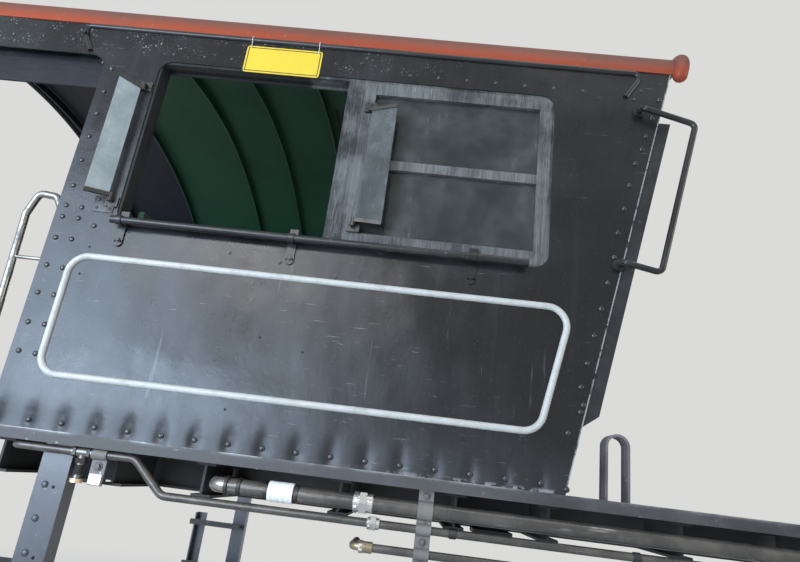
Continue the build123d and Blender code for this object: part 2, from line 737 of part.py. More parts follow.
# Number panel beads: half-round frames with a front side parallel to the slant
with BuildPart() as panel_beads:
    panel_z = DECK_Z + PANEL_FOOT_H
    with BuildLine(Plane.XZ.offset(HALF_W)) as panel_path:
        FilletPolyline(
            (PANEL_X, panel_z),
            (PANEL_X + PANEL_W, panel_z),
            (PANEL_X + PANEL_W + PANEL_H * SLOPE, panel_z + PANEL_H),
            (PANEL_X, panel_z + PANEL_H),
            radius=PANEL_R,
            close=True,
        )
    with BuildSketch(panel_path.line ^ 0):
        Circle(BEAD_R)
    sweep(path=panel_path.line)
    with BuildSketch(Plane.XZ.offset(HALF_W)):
        Rectangle(4 * FRONT_X, 4 * EAVE_Z)
    extrude(amount=-2 * BEAD_R, mode=Mode.SUBTRACT)
    mirror(about=Plane.XZ)
panel_beads.part.label = "panel_beads"
export_step(panel_beads.part, "parts/panel_beads.step")

# Window frames behind the side sheets: timber ring, post between the two halves, groove for the sliding sash
clear_x0 = WINDOW_X0 + REVEAL
clear_x1 = WINDOW_X0 + WINDOW_W - REVEAL
clear_z0 = WINDOW_Z0 + REVEAL
clear_z1 = WINDOW_Z0 + WINDOW_H - REVEAL
clear_w = clear_x1 - clear_x0
clear_h = clear_z1 - clear_z0
track_y = INNER_Y - SASH_T - SASH_GAP
groove_y = track_y + GROOVE_PLAY
with BuildPart() as window_frames:
    with BuildSketch(Plane.XZ.offset(INNER_Y)):
        with Locations((WINDOW_X0 + WINDOW_W / 2, WINDOW_Z0 + WINDOW_H / 2)):
            Rectangle(WINDOW_W + 2 * FRAME_LAP, WINDOW_H + 2 * FRAME_LAP)
            Rectangle(clear_w, clear_h, mode=Mode.SUBTRACT)
    extrude(amount=-FRAME_D)
    with BuildSketch(Plane.XZ.offset(INNER_Y)):
        with Locations((MULLION_X + MULLION_W / 2, (clear_z0 + clear_z1) / 2)):
            Rectangle(MULLION_W, clear_h)
    extrude(amount=-SASH_T)
    with BuildSketch(Plane.XZ.offset(groove_y)):
        with Locations(((clear_x0 + clear_x1) / 2, (clear_z0 + clear_z1) / 2)):
            Rectangle(clear_w, clear_h + 2 * GROOVE_D)
    extrude(amount=-(SASH_T + 2 * GROOVE_PLAY), mode=Mode.SUBTRACT)
    mirror(about=Plane.XZ)
window_frames.part.label = "window_frames"
export_step(window_frames.part, "parts/window_frames.step")


def sash_frame(x0, x1, z0, z1, face_y, foot_rail):
    """Timber sash on the right side: stiles, rails and a muntin in front of the pane."""
    mid_x, mid_z = (x0 + x1) / 2, (z0 + z1) / 2
    light_w = x1 - x0 - 2 * STILE_W
    light_z0, light_z1 = z0 + foot_rail, z1 - RAIL_W
    with BuildSketch(Plane.XZ.offset(face_y)) as ring:
        with Locations((mid_x, mid_z)):
            Rectangle(x1 - x0, z1 - z0)
        with Locations((mid_x, (light_z0 + light_z1) / 2)):
            Rectangle(light_w, light_z1 - light_z0, mode=Mode.SUBTRACT)
    extrude(ring.sketch, amount=-SASH_T)
    with BuildSketch(Plane.XZ.offset(face_y - LIP_T)) as rebate:
        with Locations((mid_x, (light_z0 + light_z1) / 2)):
            Rectangle(light_w + 2 * PANE_LAP, light_z1 - light_z0 + 2 * PANE_LAP)
    extrude(rebate.sketch, amount=-(SASH_T - LIP_T), mode=Mode.SUBTRACT)
    with BuildSketch(Plane.XZ.offset(face_y)) as muntin:
        with Locations((mid_x, DECK_Z + MUNTIN_H + MUNTIN_W / 2)):
            Rectangle(light_w, MUNTIN_W)
    extrude(muntin.sketch, amount=-LIP_T)


def sash_pane(x0, x1, z0, z1, face_y, foot_rail):
    """Pane in the rebate behind a sash's lip."""
    light_z0, light_z1 = z0 + foot_rail, z1 - RAIL_W
    with BuildSketch(Plane.XZ.offset(face_y - LIP_T)) as pane:
        with Locations(((x0 + x1) / 2, (light_z0 + light_z1) / 2)):
            Rectangle(
                x1 - x0 - 2 * STILE_W + 2 * PANE_LAP - 2 * PIN_PLAY,
                light_z1 - light_z0 + 2 * PANE_LAP - 2 * PIN_PLAY,
            )
    extrude(pane.sketch, amount=-PANE_T)


# Fixed sashes in the front half of each window
fixed_sash = (MULLION_X + MULLION_W, clear_x1, clear_z0, clear_z1, INNER_Y, RAIL_W)
with BuildPart() as fixed_sashes:
    sash_frame(*fixed_sash)
    mirror(about=Plane.XZ)
fixed_sashes.part.label = "fixed_sashes"
export_step(fixed_sashes.part, "parts/fixed_sashes.step")

with BuildPart() as fixed_sash_glass:
    sash_pane(*fixed_sash)
    mirror(about=Plane.XZ)
fixed_sash_glass.part.label = "fixed_sash_glass"
export_step(fixed_sash_glass.part, "parts/fixed_sash_glass.step")

# Sliding sashes, shown slid forward behind the fixed ones
sash_x1 = clear_x1 - SASH_PLAY
slide_sash = (
    sash_x1 - SASH_W,
    sash_x1,
    clear_z0 - GROOVE_D + SEAT_PLAY,
    clear_z1 + GROOVE_D - SASH_PLAY,
    track_y,
    RAIL_W + GROOVE_D,
)
with BuildPart() as sliding_sash_right:
    sash_frame(*slide_sash)
sliding_sash_right.part.label = "sliding_sash_right"
export_step(sliding_sash_right.part, "parts/sliding_sash_right.step")

with BuildPart() as sliding_glass_right:
    sash_pane(*slide_sash)
sliding_glass_right.part.label = "sliding_glass_right"
export_step(sliding_glass_right.part, "parts/sliding_glass_right.step")

with BuildPart() as sliding_sash_left:
    mirror(sliding_sash_right.part, about=Plane.XZ)
sliding_sash_left.part.label = "sliding_sash_left"
export_step(sliding_sash_left.part, "parts/sliding_sash_left.step")

with BuildPart() as sliding_glass_left:
    mirror(sliding_glass_right.part, about=Plane.XZ)
sliding_glass_left.part.label = "sliding_glass_left"
export_step(sliding_glass_left.part, "parts/sliding_glass_left.step")

# Wind wings: a narrow pane between two clips that swing on pins; the rear one folds back, the fore one forward
# columns: name, pivot x, way the pane points (-1 back, 1 forward), degrees off the sheet at rest, seat's y, width
WINGS = (
    ("rear", -878.0, -1, 41.0, HALF_W, 107.0),
    ("fore", 182.0, 1, 12.0, INNER_Y, 126.0),
)
wing_y = HALF_W + WING_STANDOFF
wing_z0 = DECK_Z + WING_FOOT_H
wing_z1 = wing_z0 + WING_H
with BuildPart() as wing_brackets:
    for wing_name, pivot_x, way, rest_angle, seat_y, wing_w in WINGS:
        for end_z, lug_side in ((wing_z0 - WING_CLIP_H, -1), (wing_z1 + WING_CLIP_H, 1)):
            lug_z = end_z + lug_side * (HINGE_PLAY + LUG_T / 2)
            with BuildSketch(Plane.XZ.offset(seat_y)):
                with Locations((pivot_x, lug_z)):
                    Rectangle(BRACKET_W, BRACKET_H)
            extrude(amount=HALF_W - seat_y + BRACKET_T)
            with BuildSketch(Plane.XY.offset(lug_z - LUG_T / 2)):
                with Locations((pivot_x, -HALF_W - WING_STANDOFF / 2)):
                    Rectangle(2 * WING_EYE_R, WING_STANDOFF)
                with Locations((pivot_x, -wing_y)):
                    Circle(WING_EYE_R)
            extrude(amount=LUG_T)
            pin_foot = min(lug_z, end_z - lug_side * WING_CLIP_H)
            with BuildSketch(Plane.XY.offset(pin_foot)):
                with Locations((pivot_x, -wing_y)):
                    Circle(WING_PIN_R)
            extrude(amount=abs(lug_z - end_z + lug_side * WING_CLIP_H))
    mirror(about=Plane.XZ)
wing_brackets.part.label = "wing_brackets"
export_step(wing_brackets.part, "parts/wing_brackets.step")

for wing_name, pivot_x, way, rest_angle, seat_y, wing_w in WINGS:
    swing = math.radians(rest_angle)
    along = (way * math.cos(swing), -math.sin(swing), 0)
    wing_plane = Plane(origin=(pivot_x, -wing_y, 0), x_dir=along, z_dir=(along[1], -along[0], 0))
    pane_x0 = WING_EYE_R + HINGE_PLAY
    flare_z0 = wing_z0 - WING_FLARE
    flare_z1 = wing_z1 + WING_FLARE
    with BuildPart() as wing_pane:
        with BuildSketch(wing_plane):
            with BuildLine():
                Polyline(
                    (pane_x0, wing_z0), (wing_w, flare_z0), (wing_w, flare_z1), (pane_x0, wing_z1), close=True
                )
            make_face()
        extrude(amount=WING_PANE_T / 2, both=True)
    with BuildPart() as wing_clips:
        with BuildSketch(wing_plane):
            for edge_z, free_z, lift in ((wing_z0, flare_z0, -1), (wing_z1, flare_z1, 1)):
                outer = lift * (WING_CLIP_H - WING_SLOT)
                inner = -lift * WING_SLOT
                with BuildLine():
                    Polyline(
                        (0, edge_z + inner),
                        (wing_w + PIN_PLAY, free_z + inner),
                        (wing_w + PIN_PLAY, free_z + outer),
                        (0, edge_z + outer),
                        close=True,
                    )
                make_face()
        extrude(amount=WING_CLIP_W / 2, both=True)
        for eye_z0, eye_z1 in ((wing_z0 - WING_CLIP_H, wing_z0 + WING_SLOT), (wing_z1 - WING_SLOT, wing_z1 + WING_CLIP_H)):
            with BuildSketch(Plane.XY.offset(eye_z0)):
                with Locations((pivot_x, -wing_y)):
                    Circle(WING_EYE_R)
            extrude(amount=eye_z1 - eye_z0)
            with BuildSketch(Plane.XY.offset(eye_z0)):
                with Locations((pivot_x, -wing_y)):
                    Circle(WING_PIN_R + PIN_PLAY)
            extrude(amount=eye_z1 - eye_z0, mode=Mode.SUBTRACT)
        add(wing_pane.part, mode=Mode.SUBTRACT)
    for side_name, flip in (("right", False), ("left", True)):
        with BuildPart() as clips:
            mirror(wing_clips.part, about=Plane.XZ) if flip else add(wing_clips.part)
        clips.part.label = f"wing_clips_{wing_name}_{side_name}"
        export_step(clips.part, f"parts/wing_clips_{wing_name}_{side_name}.step")
        with BuildPart() as pane:
            mirror(wing_pane.part, about=Plane.XZ) if flip else add(wing_pane.part)
        pane.part.label = f"wing_pane_{wing_name}_{side_name}"
        export_step(pane.part, f"parts/wing_pane_{wing_name}_{side_name}.step")

# Sill rails under the windows: round bars on straps
STRAPS_X = (-800.0, -60.0, 700.0)
STRAP_W = 36.0
STRAP_T = 8.0
STRAP_FOOT_H = 790.0
STRAP_TOP_H = 930.0
RAIL_TAIL = 224.0
with BuildPart() as sill_rails:
    rail_y = HALF_W + RAIL_STANDOFF
    rail_z = DECK_Z + RAIL_H
    with BuildSketch(Plane.YZ.offset(STRAPS_X[0] - STRAP_W)):
        with Locations((-rail_y, rail_z)):
            Circle(RAIL_R)
    extrude(amount=STRAPS_X[-1] - STRAPS_X[0] + STRAP_W + RAIL_TAIL)
    with BuildSketch(Plane.XZ.offset(HALF_W)):
        for x in STRAPS_X:
            with Locations((x, DECK_Z + (STRAP_FOOT_H + STRAP_TOP_H) / 2)):
                Rectangle(STRAP_W, STRAP_TOP_H - STRAP_FOOT_H)
    extrude(amount=STRAP_T)
    with BuildSketch(Plane.XZ.offset(HALF_W)):
        for x in STRAPS_X:
            with Locations((x, rail_z)):
                Rectangle(STRAP_W, RAIL_R)
    extrude(amount=RAIL_STANDOFF)
    mirror(about=Plane.XZ)
sill_rails.part.label = "sill_rails"
export_step(sill_rails.part, "parts/sill_rails.step")

# Front grab irons: bent bars from the letterboard down past the front edge; x and height above the deck
FRONT_GRAB = ((1386.0, 1672.0), (1618.0, 1607.0), (1458.0, 894.0), (1301.0, 924.0))
grab_y = HALF_W + GRAB_STANDOFF
with BuildPart() as front_grabs:
    foot_points = [(FRONT_GRAB[0], 0), (FRONT_GRAB[-1], 1)]
    with BuildLine() as grab_path:
        FilletPolyline(
            (FRONT_GRAB[0][0], -HALF_W, DECK_Z + FRONT_GRAB[0][1]),
            *[(x, -grab_y, DECK_Z + h) for x, h in FRONT_GRAB],
            (FRONT_GRAB[-1][0], -HALF_W, DECK_Z + FRONT_GRAB[-1][1]),
            radius=2 * GRAB_R,
        )
    with BuildSketch(grab_path.line ^ 0):
        Circle(GRAB_R)
    sweep(path=grab_path.line)
    with BuildSketch(Plane.XZ.offset(HALF_W)):
        with Locations(*[(point[0], DECK_Z + point[1]) for point, _ in foot_points]):
            Circle(GRAB_BOSS_R)
    extrude(amount=GRAB_BOSS_T)
    mirror(about=Plane.XZ)
front_grabs.part.label = "front_grab_irons"
export_step(front_grabs.part, "parts/front_grab_irons.step")

# Rear grab irons: polished bars bent out behind the rear posts; x behind the post and height above the deck
REAR_GRAB = ((0.0, 925.0), (38.0, 985.0), (120.0, 993.0), (152.0, 890.0), (118.0, 170.0), (0.0, 130.0))
REAR_STAY_H = 690.0
rear_grab_y = INNER_Y - ANGLE_T - REAR_GRAB_R - 6
with BuildPart() as rear_grabs:
    with BuildLine() as grab_path:
        FilletPolyline(*[(REAR_X - back, -rear_grab_y, DECK_Z + h) for back, h in REAR_GRAB], radius=30)
    with BuildSketch(grab_path.line ^ 0):
        Circle(REAR_GRAB_R)
    sweep(path=grab_path.line)
    with BuildSketch(Plane.YZ.offset(REAR_X)):
        with Locations((-rear_grab_y, DECK_Z + REAR_STAY_H)):
            Circle(REAR_GRAB_R / 2)
    extrude(amount=-REAR_GRAB[3][0] + REAR_GRAB_R / 2)
    split(bisect_by=Plane.YZ.offset(REAR_X), keep=Keep.BOTTOM)
    mirror(about=Plane.XZ)
rear_grabs.part.label = "rear_grab_irons"
export_step(rear_grabs.part, "parts/rear_grab_irons.step")

# Step hangers: on each side an angle down from the sill and a short one behind it, carried by the treads
TREADS_Z = (-350.0, -655.0, -960.0)
hanger_x1 = HANGER_X + HANGER_W
step_x0 = hanger_x1 - STEP_W
step_y1 = STEP_FACE_Y - HANGER_T
rear_hanger_top_z = TREADS_Z[0] + 2 * TREAD_LIP
with BuildPart() as step_hangers:
    with BuildSketch(Plane.XY.offset(STEP_FOOT_Z)):
        with BuildLine():
            Polyline(
                (HANGER_X, -STEP_FACE_Y),
                (hanger_x1, -STEP_FACE_Y),
                (hanger_x1, -STEP_FACE_Y + HANGER_FLANGE),
                (hanger_x1 - HANGER_T, -STEP_FACE_Y + HANGER_FLANGE),
                (hanger_x1 - HANGER_T, -step_y1),
                (HANGER_X, -step_y1),
                close=True,
            )
        make_face()
    extrude(amount=BEAM_TOP - STEP_FOOT_Z)
    with BuildSketch(Plane.XY.offset(STEP_FOOT_Z)):
        with BuildLine():
            Polyline(
                (step_x0, -STEP_FACE_Y),
                (step_x0 + REAR_HANGER_W, -STEP_FACE_Y),
                (step_x0 + REAR_HANGER_W, -step_y1),
                (step_x0 + HANGER_T, -step_y1),
                (step_x0 + HANGER_T, -STEP_FACE_Y + HANGER_FLANGE),
                (step_x0, -STEP_FACE_Y + HANGER_FLANGE),
                close=True,
            )
        make_face()
    extrude(amount=rear_hanger_top_z - STEP_FOOT_Z)
    mirror(about=Plane.XZ)
step_hangers.part.label = "step_hangers"
export_step(step_hangers.part, "parts/step_hangers.step")

# Treads between the hangers, with a lip along the back
with BuildPart() as step_treads:
    tread_w = STEP_W - 2 * HANGER_T
    tread_mid_x = step_x0 + STEP_W / 2
    for tread_z in TREADS_Z:
        with BuildSketch(Plane.XY.offset(tread_z)):
            with Locations((tread_mid_x, -step_y1 + TREAD_D / 2)):
                Rectangle(tread_w, TREAD_D)
        extrude(amount=TREAD_T)
        with BuildSketch(Plane.XY.offset(tread_z)):
            with Locations((tread_mid_x, -step_y1 + TREAD_D - TREAD_T / 2)):
                Rectangle(tread_w, TREAD_T)
        extrude(amount=TREAD_LIP)
    mirror(about=Plane.XZ)
step_treads.part.label = "step_treads"
export_step(step_treads.part, "parts/step_treads.step")

# Pipes under the right sill. Runs are straight, joined by tangent arcs.
PIPE_END_X = BOARD_END_X
LARGE_START_X = -189.0
LOOP_X = -997.0
LOOP_Y = 1380.0
LOOP_START_X = FULL_BEAMS_X[1] - BEAM_W / 2
DROP_X = (-507.0, -377.0)
TEE_X = -710.0
COUPLING_X = 69.0
COUPLING_L = 96.0
MIDDLE_UNION_X = 423.0
LARGE_UNION_X = 377.0
LOWER_START_X = 358.0
LOWER_STUB = 180.0
DRAIN_DROP = 96.0


def collar(x, z, radius, length):
    """Round fitting on a straight stretch of pipe."""
    with BuildSketch(Plane.YZ.offset(x - length / 2)) as ring:
        with Locations((-PIPE_Y, z)):
            Circle(radius)
    extrude(ring.sketch, amount=length)


def union_nut(x, z, radius, length):
    """Six-sided nut on a straight stretch of pipe."""
    with BuildSketch(Plane.YZ.offset(x - length / 2)) as flats:
        with Locations((-PIPE_Y, z)):
            RegularPolygon(radius, 6)
    extrude(flats.sketch, amount=length)


with BuildPart() as pipe_upper:
    with BuildLine() as upper_path:
        FilletPolyline(
            (LARGE_START_X, -STRINGER_Y - BEAM_T / 2, LARGE_PIPE_Z),
            (LARGE_START_X, -PIPE_Y, LARGE_PIPE_Z),
            (PIPE_END_X, -PIPE_Y, LARGE_PIPE_Z),
            radius=1.5 * LARGE_PIPE_R,
        )
    with BuildSketch(upper_path.line ^ 0):
        Circle(LARGE_PIPE_R)
    sweep(path=upper_path.line)
    collar(COUPLING_X, LARGE_PIPE_Z, LARGE_PIPE_R + 7, COUPLING_L)
    union_nut(LARGE_UNION_X, LARGE_PIPE_Z, LARGE_PIPE_R + 14, 26)
    collar(LARGE_UNION_X, LARGE_PIPE_Z, LARGE_PIPE_R + 6, 70)
    collar(PIPE_END_X - 30, LARGE_PIPE_Z, LARGE_PIPE_R + 10, 60)
pipe_upper.part.label = "pipe_upper"
export_step(pipe_upper.part, "parts/pipe_upper.step")

with BuildPart() as pipe_middle:
    with BuildLine() as middle_path:
        FilletPolyline(
            (LOOP_START_X, -LOOP_Y, LOOP_PIPE_Z),
            (LOOP_X, -LOOP_Y, LOOP_PIPE_Z),
            (LOOP_X, -PIPE_Y, LOOP_PIPE_Z),
            (DROP_X[0], -PIPE_Y, LOOP_PIPE_Z),
            (DROP_X[1], -PIPE_Y, MIDDLE_PIPE_Z),
            (PIPE_END_X, -PIPE_Y, MIDDLE_PIPE_Z),
            radius=50,
        )
    with BuildSketch(middle_path.line ^ 0):
        Circle(SMALL_PIPE_R)
    sweep(path=middle_path.line)
    collar(TEE_X, LOOP_PIPE_Z, SMALL_PIPE_R + 4, 80)
    with BuildSketch(Plane.XY.offset(LOOP_PIPE_Z)):
        with Locations((TEE_X, -PIPE_Y)):
            Circle(SMALL_PIPE_R)
    extrude(amount=-DRAIN_DROP)
    union_nut(MIDDLE_UNION_X, MIDDLE_PIPE_Z, SMALL_PIPE_R + 11, 20)
    collar(MIDDLE_UNION_X, MIDDLE_PIPE_Z, SMALL_PIPE_R + 5, 44)
    collar(PIPE_END_X - 20, MIDDLE_PIPE_Z, SMALL_PIPE_R + 7, 40)
pipe_middle.part.label = "pipe_middle"
export_step(pipe_middle.part, "parts/pipe_middle.step")

with BuildPart() as drain_cap:
    with BuildSketch(Plane.XY.offset(LOOP_PIPE_Z - DRAIN_DROP)):
        with Locations((TEE_X, -PIPE_Y)):
            Circle(SMALL_PIPE_R + 8)
    extrude(amount=-14)
drain_cap.part.label = "drain_cap"
export_step(drain_cap.part, "parts/drain_cap.step")

with BuildPart() as pipe_lower:
    with BuildLine() as lower_path:
        FilletPolyline(
            (LOWER_START_X, -PIPE_Y + LOWER_STUB, LOWER_PIPE_Z),
            (LOWER_START_X, -PIPE_Y, LOWER_PIPE_Z),
            (PIPE_END_X, -PIPE_Y, LOWER_PIPE_Z),
            radius=30,
        )
    with BuildSketch(lower_path.line ^ 0):
        Circle(SMALL_PIPE_R)
    sweep(path=lower_path.line)
    collar(LOWER_START_X + 50, LOWER_PIPE_Z, SMALL_PIPE_R + 5, 44)
    collar(PIPE_END_X - 20, LOWER_PIPE_Z, SMALL_PIPE_R + 7, 40)
pipe_lower.part.label = "pipe_lower"
export_step(pipe_lower.part, "parts/pipe_lower.step")

# Pipe hangers: bars down from the sill with clamps round the pipes
# columns: x, foot z, pipes held as (z, radius)
RUN_PIPES = ((LARGE_PIPE_Z, LARGE_PIPE_R), (MIDDLE_PIPE_Z, SMALL_PIPE_R), (LOWER_PIPE_Z, SMALL_PIPE_R))
PIPE_HANGERS = (
    (579.0, LOWER_PIPE_Z - 40, RUN_PIPES),
    (1990.0, LOWER_PIPE_Z - 40, RUN_PIPES),
    (-668.0, 11.0, ((LOOP_PIPE_Z, SMALL_PIPE_R),)),
)
with BuildPart() as pipe_hangers:
    for x, foot_z, pipes in PIPE_HANGERS:
        with BuildSketch(Plane.YZ.offset(x)):
            with Locations((-PIPE_Y + HANGER_BAR_T / 2, (BEAM_TOP + foot_z) / 2)):
                Rectangle(HANGER_BAR_T, BEAM_TOP - foot_z)
            for z, radius in pipes:
                with Locations((-PIPE_Y, z)):
                    Circle(radius + CLAMP_WALL)
            with Locations((0, BEAM_TOP + PLANK_T / 2)):
                Rectangle(4 * PIPE_Y, PLANK_T, mode=Mode.SUBTRACT)
        extrude(amount=CLAMP_W)
        with BuildSketch(Plane.YZ.offset(x)):
            for z, radius in pipes:
                with Locations((-PIPE_Y, z)):
                    Circle(radius)
        extrude(amount=CLAMP_W, mode=Mode.SUBTRACT)
pipe_hangers.part.label = "pipe_hangers"
export_step(pipe_hangers.part, "parts/pipe_hangers.step")

# Seats: open-topped boxes with a hinge strip, lids with cushions, back boards with pads
seat_top_z = DECK_Z + SEAT_BOX_H
lid_l = SEAT_X + SEAT_L - LID_X
back_outer_y = INNER_Y - FRAME_D - DOOR_GAP
with BuildPart() as seat_boxes:
    with BuildSketch(Plane.XY.offset(DECK_Z)):
        with Locations((SEAT_X + SEAT_L / 2, -(SEAT_INNER_Y + SEAT_OUTER_Y) / 2)):
            Rectangle(SEAT_L, SEAT_OUTER_Y - SEAT_INNER_Y)
    extrude(amount=SEAT_BOX_H)
    with BuildSketch(Plane.XY.offset(DECK_Z + SEAT_WALL)):
        with Locations((SEAT_X + SEAT_L / 2, -(SEAT_INNER_Y + LID_HINGE_Y) / 2 + LID_BARREL_R)):
            Rectangle(SEAT_L - 2 * SEAT_WALL, LID_HINGE_Y - SEAT_INNER_Y - 2 * SEAT_WALL)
    extrude(amount=SEAT_BOX_H, mode=Mode.SUBTRACT)
    with BuildSketch(Plane.YZ.offset(SEAT_X)):
        with Locations((-(SEAT_INNER_Y + back_outer_y) / 2, DECK_Z + (SEAT_BOX_H + BACK_H) / 2)):
            Rectangle(back_outer_y - SEAT_INNER_Y, BACK_H - SEAT_BOX_H)
    extrude(amount=BACK_T)
    for x in (LID_X + 90, LID_X + lid_l - 90):
        with BuildSketch(Plane.YZ.offset(x - BARREL_L / 2 - HINGE_PLAY - LUG_T)):
            with Locations((-LID_HINGE_Y, seat_top_z + LID_BARREL_R)):
                Circle(LID_BARREL_R)
                Rectangle(2 * LID_BARREL_R, 2 * LID_BARREL_R)
        extrude(amount=BARREL_L + 2 * HINGE_PLAY + 2 * LUG_T)
        with BuildSketch(Plane.YZ.offset(x - BARREL_L / 2 - HINGE_PLAY)):
            with Locations((-LID_HINGE_Y, seat_top_z + 2 * LID_BARREL_R)):
                Rectangle(8 * LID_BARREL_R, 4 * LID_BARREL_R)
        extrude(amount=BARREL_L + 2 * HINGE_PLAY, mode=Mode.SUBTRACT)
        with BuildSketch(Plane.YZ.offset(x - BARREL_L / 2 - HINGE_PLAY)):
            with Locations((-LID_HINGE_Y, seat_top_z + LID_BARREL_R)):
                Circle(LID_PIN_R)
        extrude(amount=BARREL_L + 2 * HINGE_PLAY)
    mirror(about=Plane.XZ)
seat_boxes.part.label = "seat_boxes"
export_step(seat_boxes.part, "parts/seat_boxes.step")

lid_w = LID_HINGE_Y - LID_BARREL_R - HINGE_PLAY - LUG_T - SEAT_INNER_Y
for side_name, flip in (("right", False), ("left", True)):
    with BuildPart() as lid_blank:
        with BuildSketch(Plane.XY.offset(seat_top_z + SEAT_PLAY)):
            with Locations((LID_X + lid_l / 2, -SEAT_INNER_Y - lid_w / 2)):
                Rectangle(lid_l, lid_w)
        extrude(amount=LID_T)
        for x in (LID_X + 90, LID_X + lid_l - 90):
            with BuildSketch(Plane.YZ.offset(x - BARREL_L / 2)):
                with Locations((-LID_HINGE_Y, seat_top_z + LID_BARREL_R)):
                    Circle(LID_BARREL_R - SEAT_PLAY)
                with Locations((-LID_HINGE_Y + 2 * LID_BARREL_R, seat_top_z + LID_BARREL_R)):
                    Rectangle(4 * LID_BARREL_R, LID_BARREL_R)
                with Locations((-LID_HINGE_Y, seat_top_z + LID_BARREL_R)):
                    Circle(LID_PIN_R + PIN_PLAY, mode=Mode.SUBTRACT)
            extrude(amount=BARREL_L)
    with BuildPart() as cushion_blank:
        cushion_z = seat_top_z + SEAT_PLAY + LID_T + SEAT_PLAY
        with BuildSketch(Plane.XY.offset(cushion_z)):
            with Locations((LID_X + lid_l / 2, -SEAT_INNER_Y - CUSHION_MARGIN - (lid_w - CUSHION_SETBACK) / 2)):
                RectangleRounded(lid_l - 2 * CUSHION_MARGIN, lid_w - CUSHION_SETBACK, LIGHT_R)
        extrude(amount=CUSHION_T)
        fillet(cushion_blank.faces().sort_by(Axis.Z)[-1].edges(), CUSHION_T / 4)
    with BuildPart() as lid:
        mirror(lid_blank.part, about=Plane.XZ) if flip else add(lid_blank.part)
    lid.part.label = f"seat_lid_{side_name}"
    export_step(lid.part, f"parts/seat_lid_{side_name}.step")
    with BuildPart() as cushion:
        mirror(cushion_blank.part, about=Plane.XZ) if flip else add(cushion_blank.part)
    cushion.part.label = f"seat_cushion_{side_name}"
    export_step(cushion.part, f"parts/seat_cushion_{side_name}.step")

with BuildPart() as back_pads:
    with BuildSketch(Plane.YZ.offset(SEAT_X + BACK_T + SEAT_PLAY)):
        with Locations((-(SEAT_INNER_Y + back_outer_y) / 2, DECK_Z + (BACK_PAD_FOOT_H + BACK_H) / 2)):
            RectangleRounded(
                back_outer_y - SEAT_INNER_Y - 2 * CUSHION_MARGIN,
                BACK_H - BACK_PAD_FOOT_H - 2 * CUSHION_MARGIN,
                LIGHT_R,
            )
    extrude(amount=BACK_PAD_T)
    mirror(about=Plane.XZ)
back_pads.part.label = "seat_back_pads"
export_step(back_pads.part, "parts/seat_back_pads.step")

# Blank sign on the letterboard
with BuildPart() as sign_plate:
    with BuildSketch(Plane.XZ.offset(HALF_W)):
        with Locations((SIGN_X + SIGN_W / 2, DECK_Z + DRIP_H - DRIP_R - SIGN_DROP - SIGN_H / 2)):
            RectangleRounded(SIGN_W, SIGN_H, BEAD_R)
    extrude(amount=SIGN_T)
sign_plate.part.label = "sign_plate"
export_step(sign_plate.part, "parts/sign_plate.step")
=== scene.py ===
"""Finishes and small fittings for a steam locomotive cab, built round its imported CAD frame.

Everything is in metres in the cab's own frame: +X forward, +Y to the left, +Z up. The photographed side
is the right one, at -Y. Most fittings are set out for the right side and repeated on the left.
"""

import logging
import math
from dataclasses import dataclass, replace
from enum import Enum
from typing import Any, Iterable, Mapping, Sequence

import bmesh
import bpy
from mathutils import Matrix, Vector
from mathutils.bvhtree import BVHTree


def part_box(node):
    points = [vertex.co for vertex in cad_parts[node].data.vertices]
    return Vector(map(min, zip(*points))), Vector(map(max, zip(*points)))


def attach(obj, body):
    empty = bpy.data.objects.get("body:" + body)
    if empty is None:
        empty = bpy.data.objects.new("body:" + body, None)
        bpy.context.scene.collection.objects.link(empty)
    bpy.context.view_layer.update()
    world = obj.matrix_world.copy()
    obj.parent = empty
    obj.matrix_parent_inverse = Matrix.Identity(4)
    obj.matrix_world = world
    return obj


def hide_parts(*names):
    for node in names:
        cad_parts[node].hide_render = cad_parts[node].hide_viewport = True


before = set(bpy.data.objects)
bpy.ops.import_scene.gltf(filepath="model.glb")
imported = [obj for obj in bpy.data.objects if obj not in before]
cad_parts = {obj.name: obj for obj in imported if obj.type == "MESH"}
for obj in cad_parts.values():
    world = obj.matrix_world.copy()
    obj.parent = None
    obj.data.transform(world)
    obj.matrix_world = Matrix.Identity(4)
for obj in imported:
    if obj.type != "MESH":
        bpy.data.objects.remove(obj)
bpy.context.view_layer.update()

log = logging.getLogger("cab")
Colour = tuple[float, float, float]
Point = tuple[float, float, float]

# Sizes of the CAD that fittings and finishes take their places from
FRONT_X = 1.112  # front end of a side sheet at the deck
HALF_W = 1.525  # outer face of a side sheet
INNER_Y = 1.519  # inner face of a side sheet
DECK_Z = 0.187
SLANT = math.radians(12.6)  # lean of the front
SLOPE = math.tan(SLANT)
CROWN_R = 3.3986  # radius of the roof arc
CROWN_Z = -0.8506  # height of its centre
DARK_X = -1.762  # the overhang is dark behind this rib
ROW_X = -0.949  # a rivet of the sheets' bottom row
ROW_PITCH = 0.1313
NOWHERE = -9.0  # behind and below every piece


def front_x(z: float) -> float:
    """Front edge of a side sheet at height z."""
    return FRONT_X + (z - DECK_Z) * SLOPE


class Side(Enum):
    """Which side of the cab a fitting is on, as the sign of its y."""

    RIGHT = -1
    LEFT = 1

    @property
    def word(self) -> str:
        """Name of the side in lower case."""
        return self.name.lower()


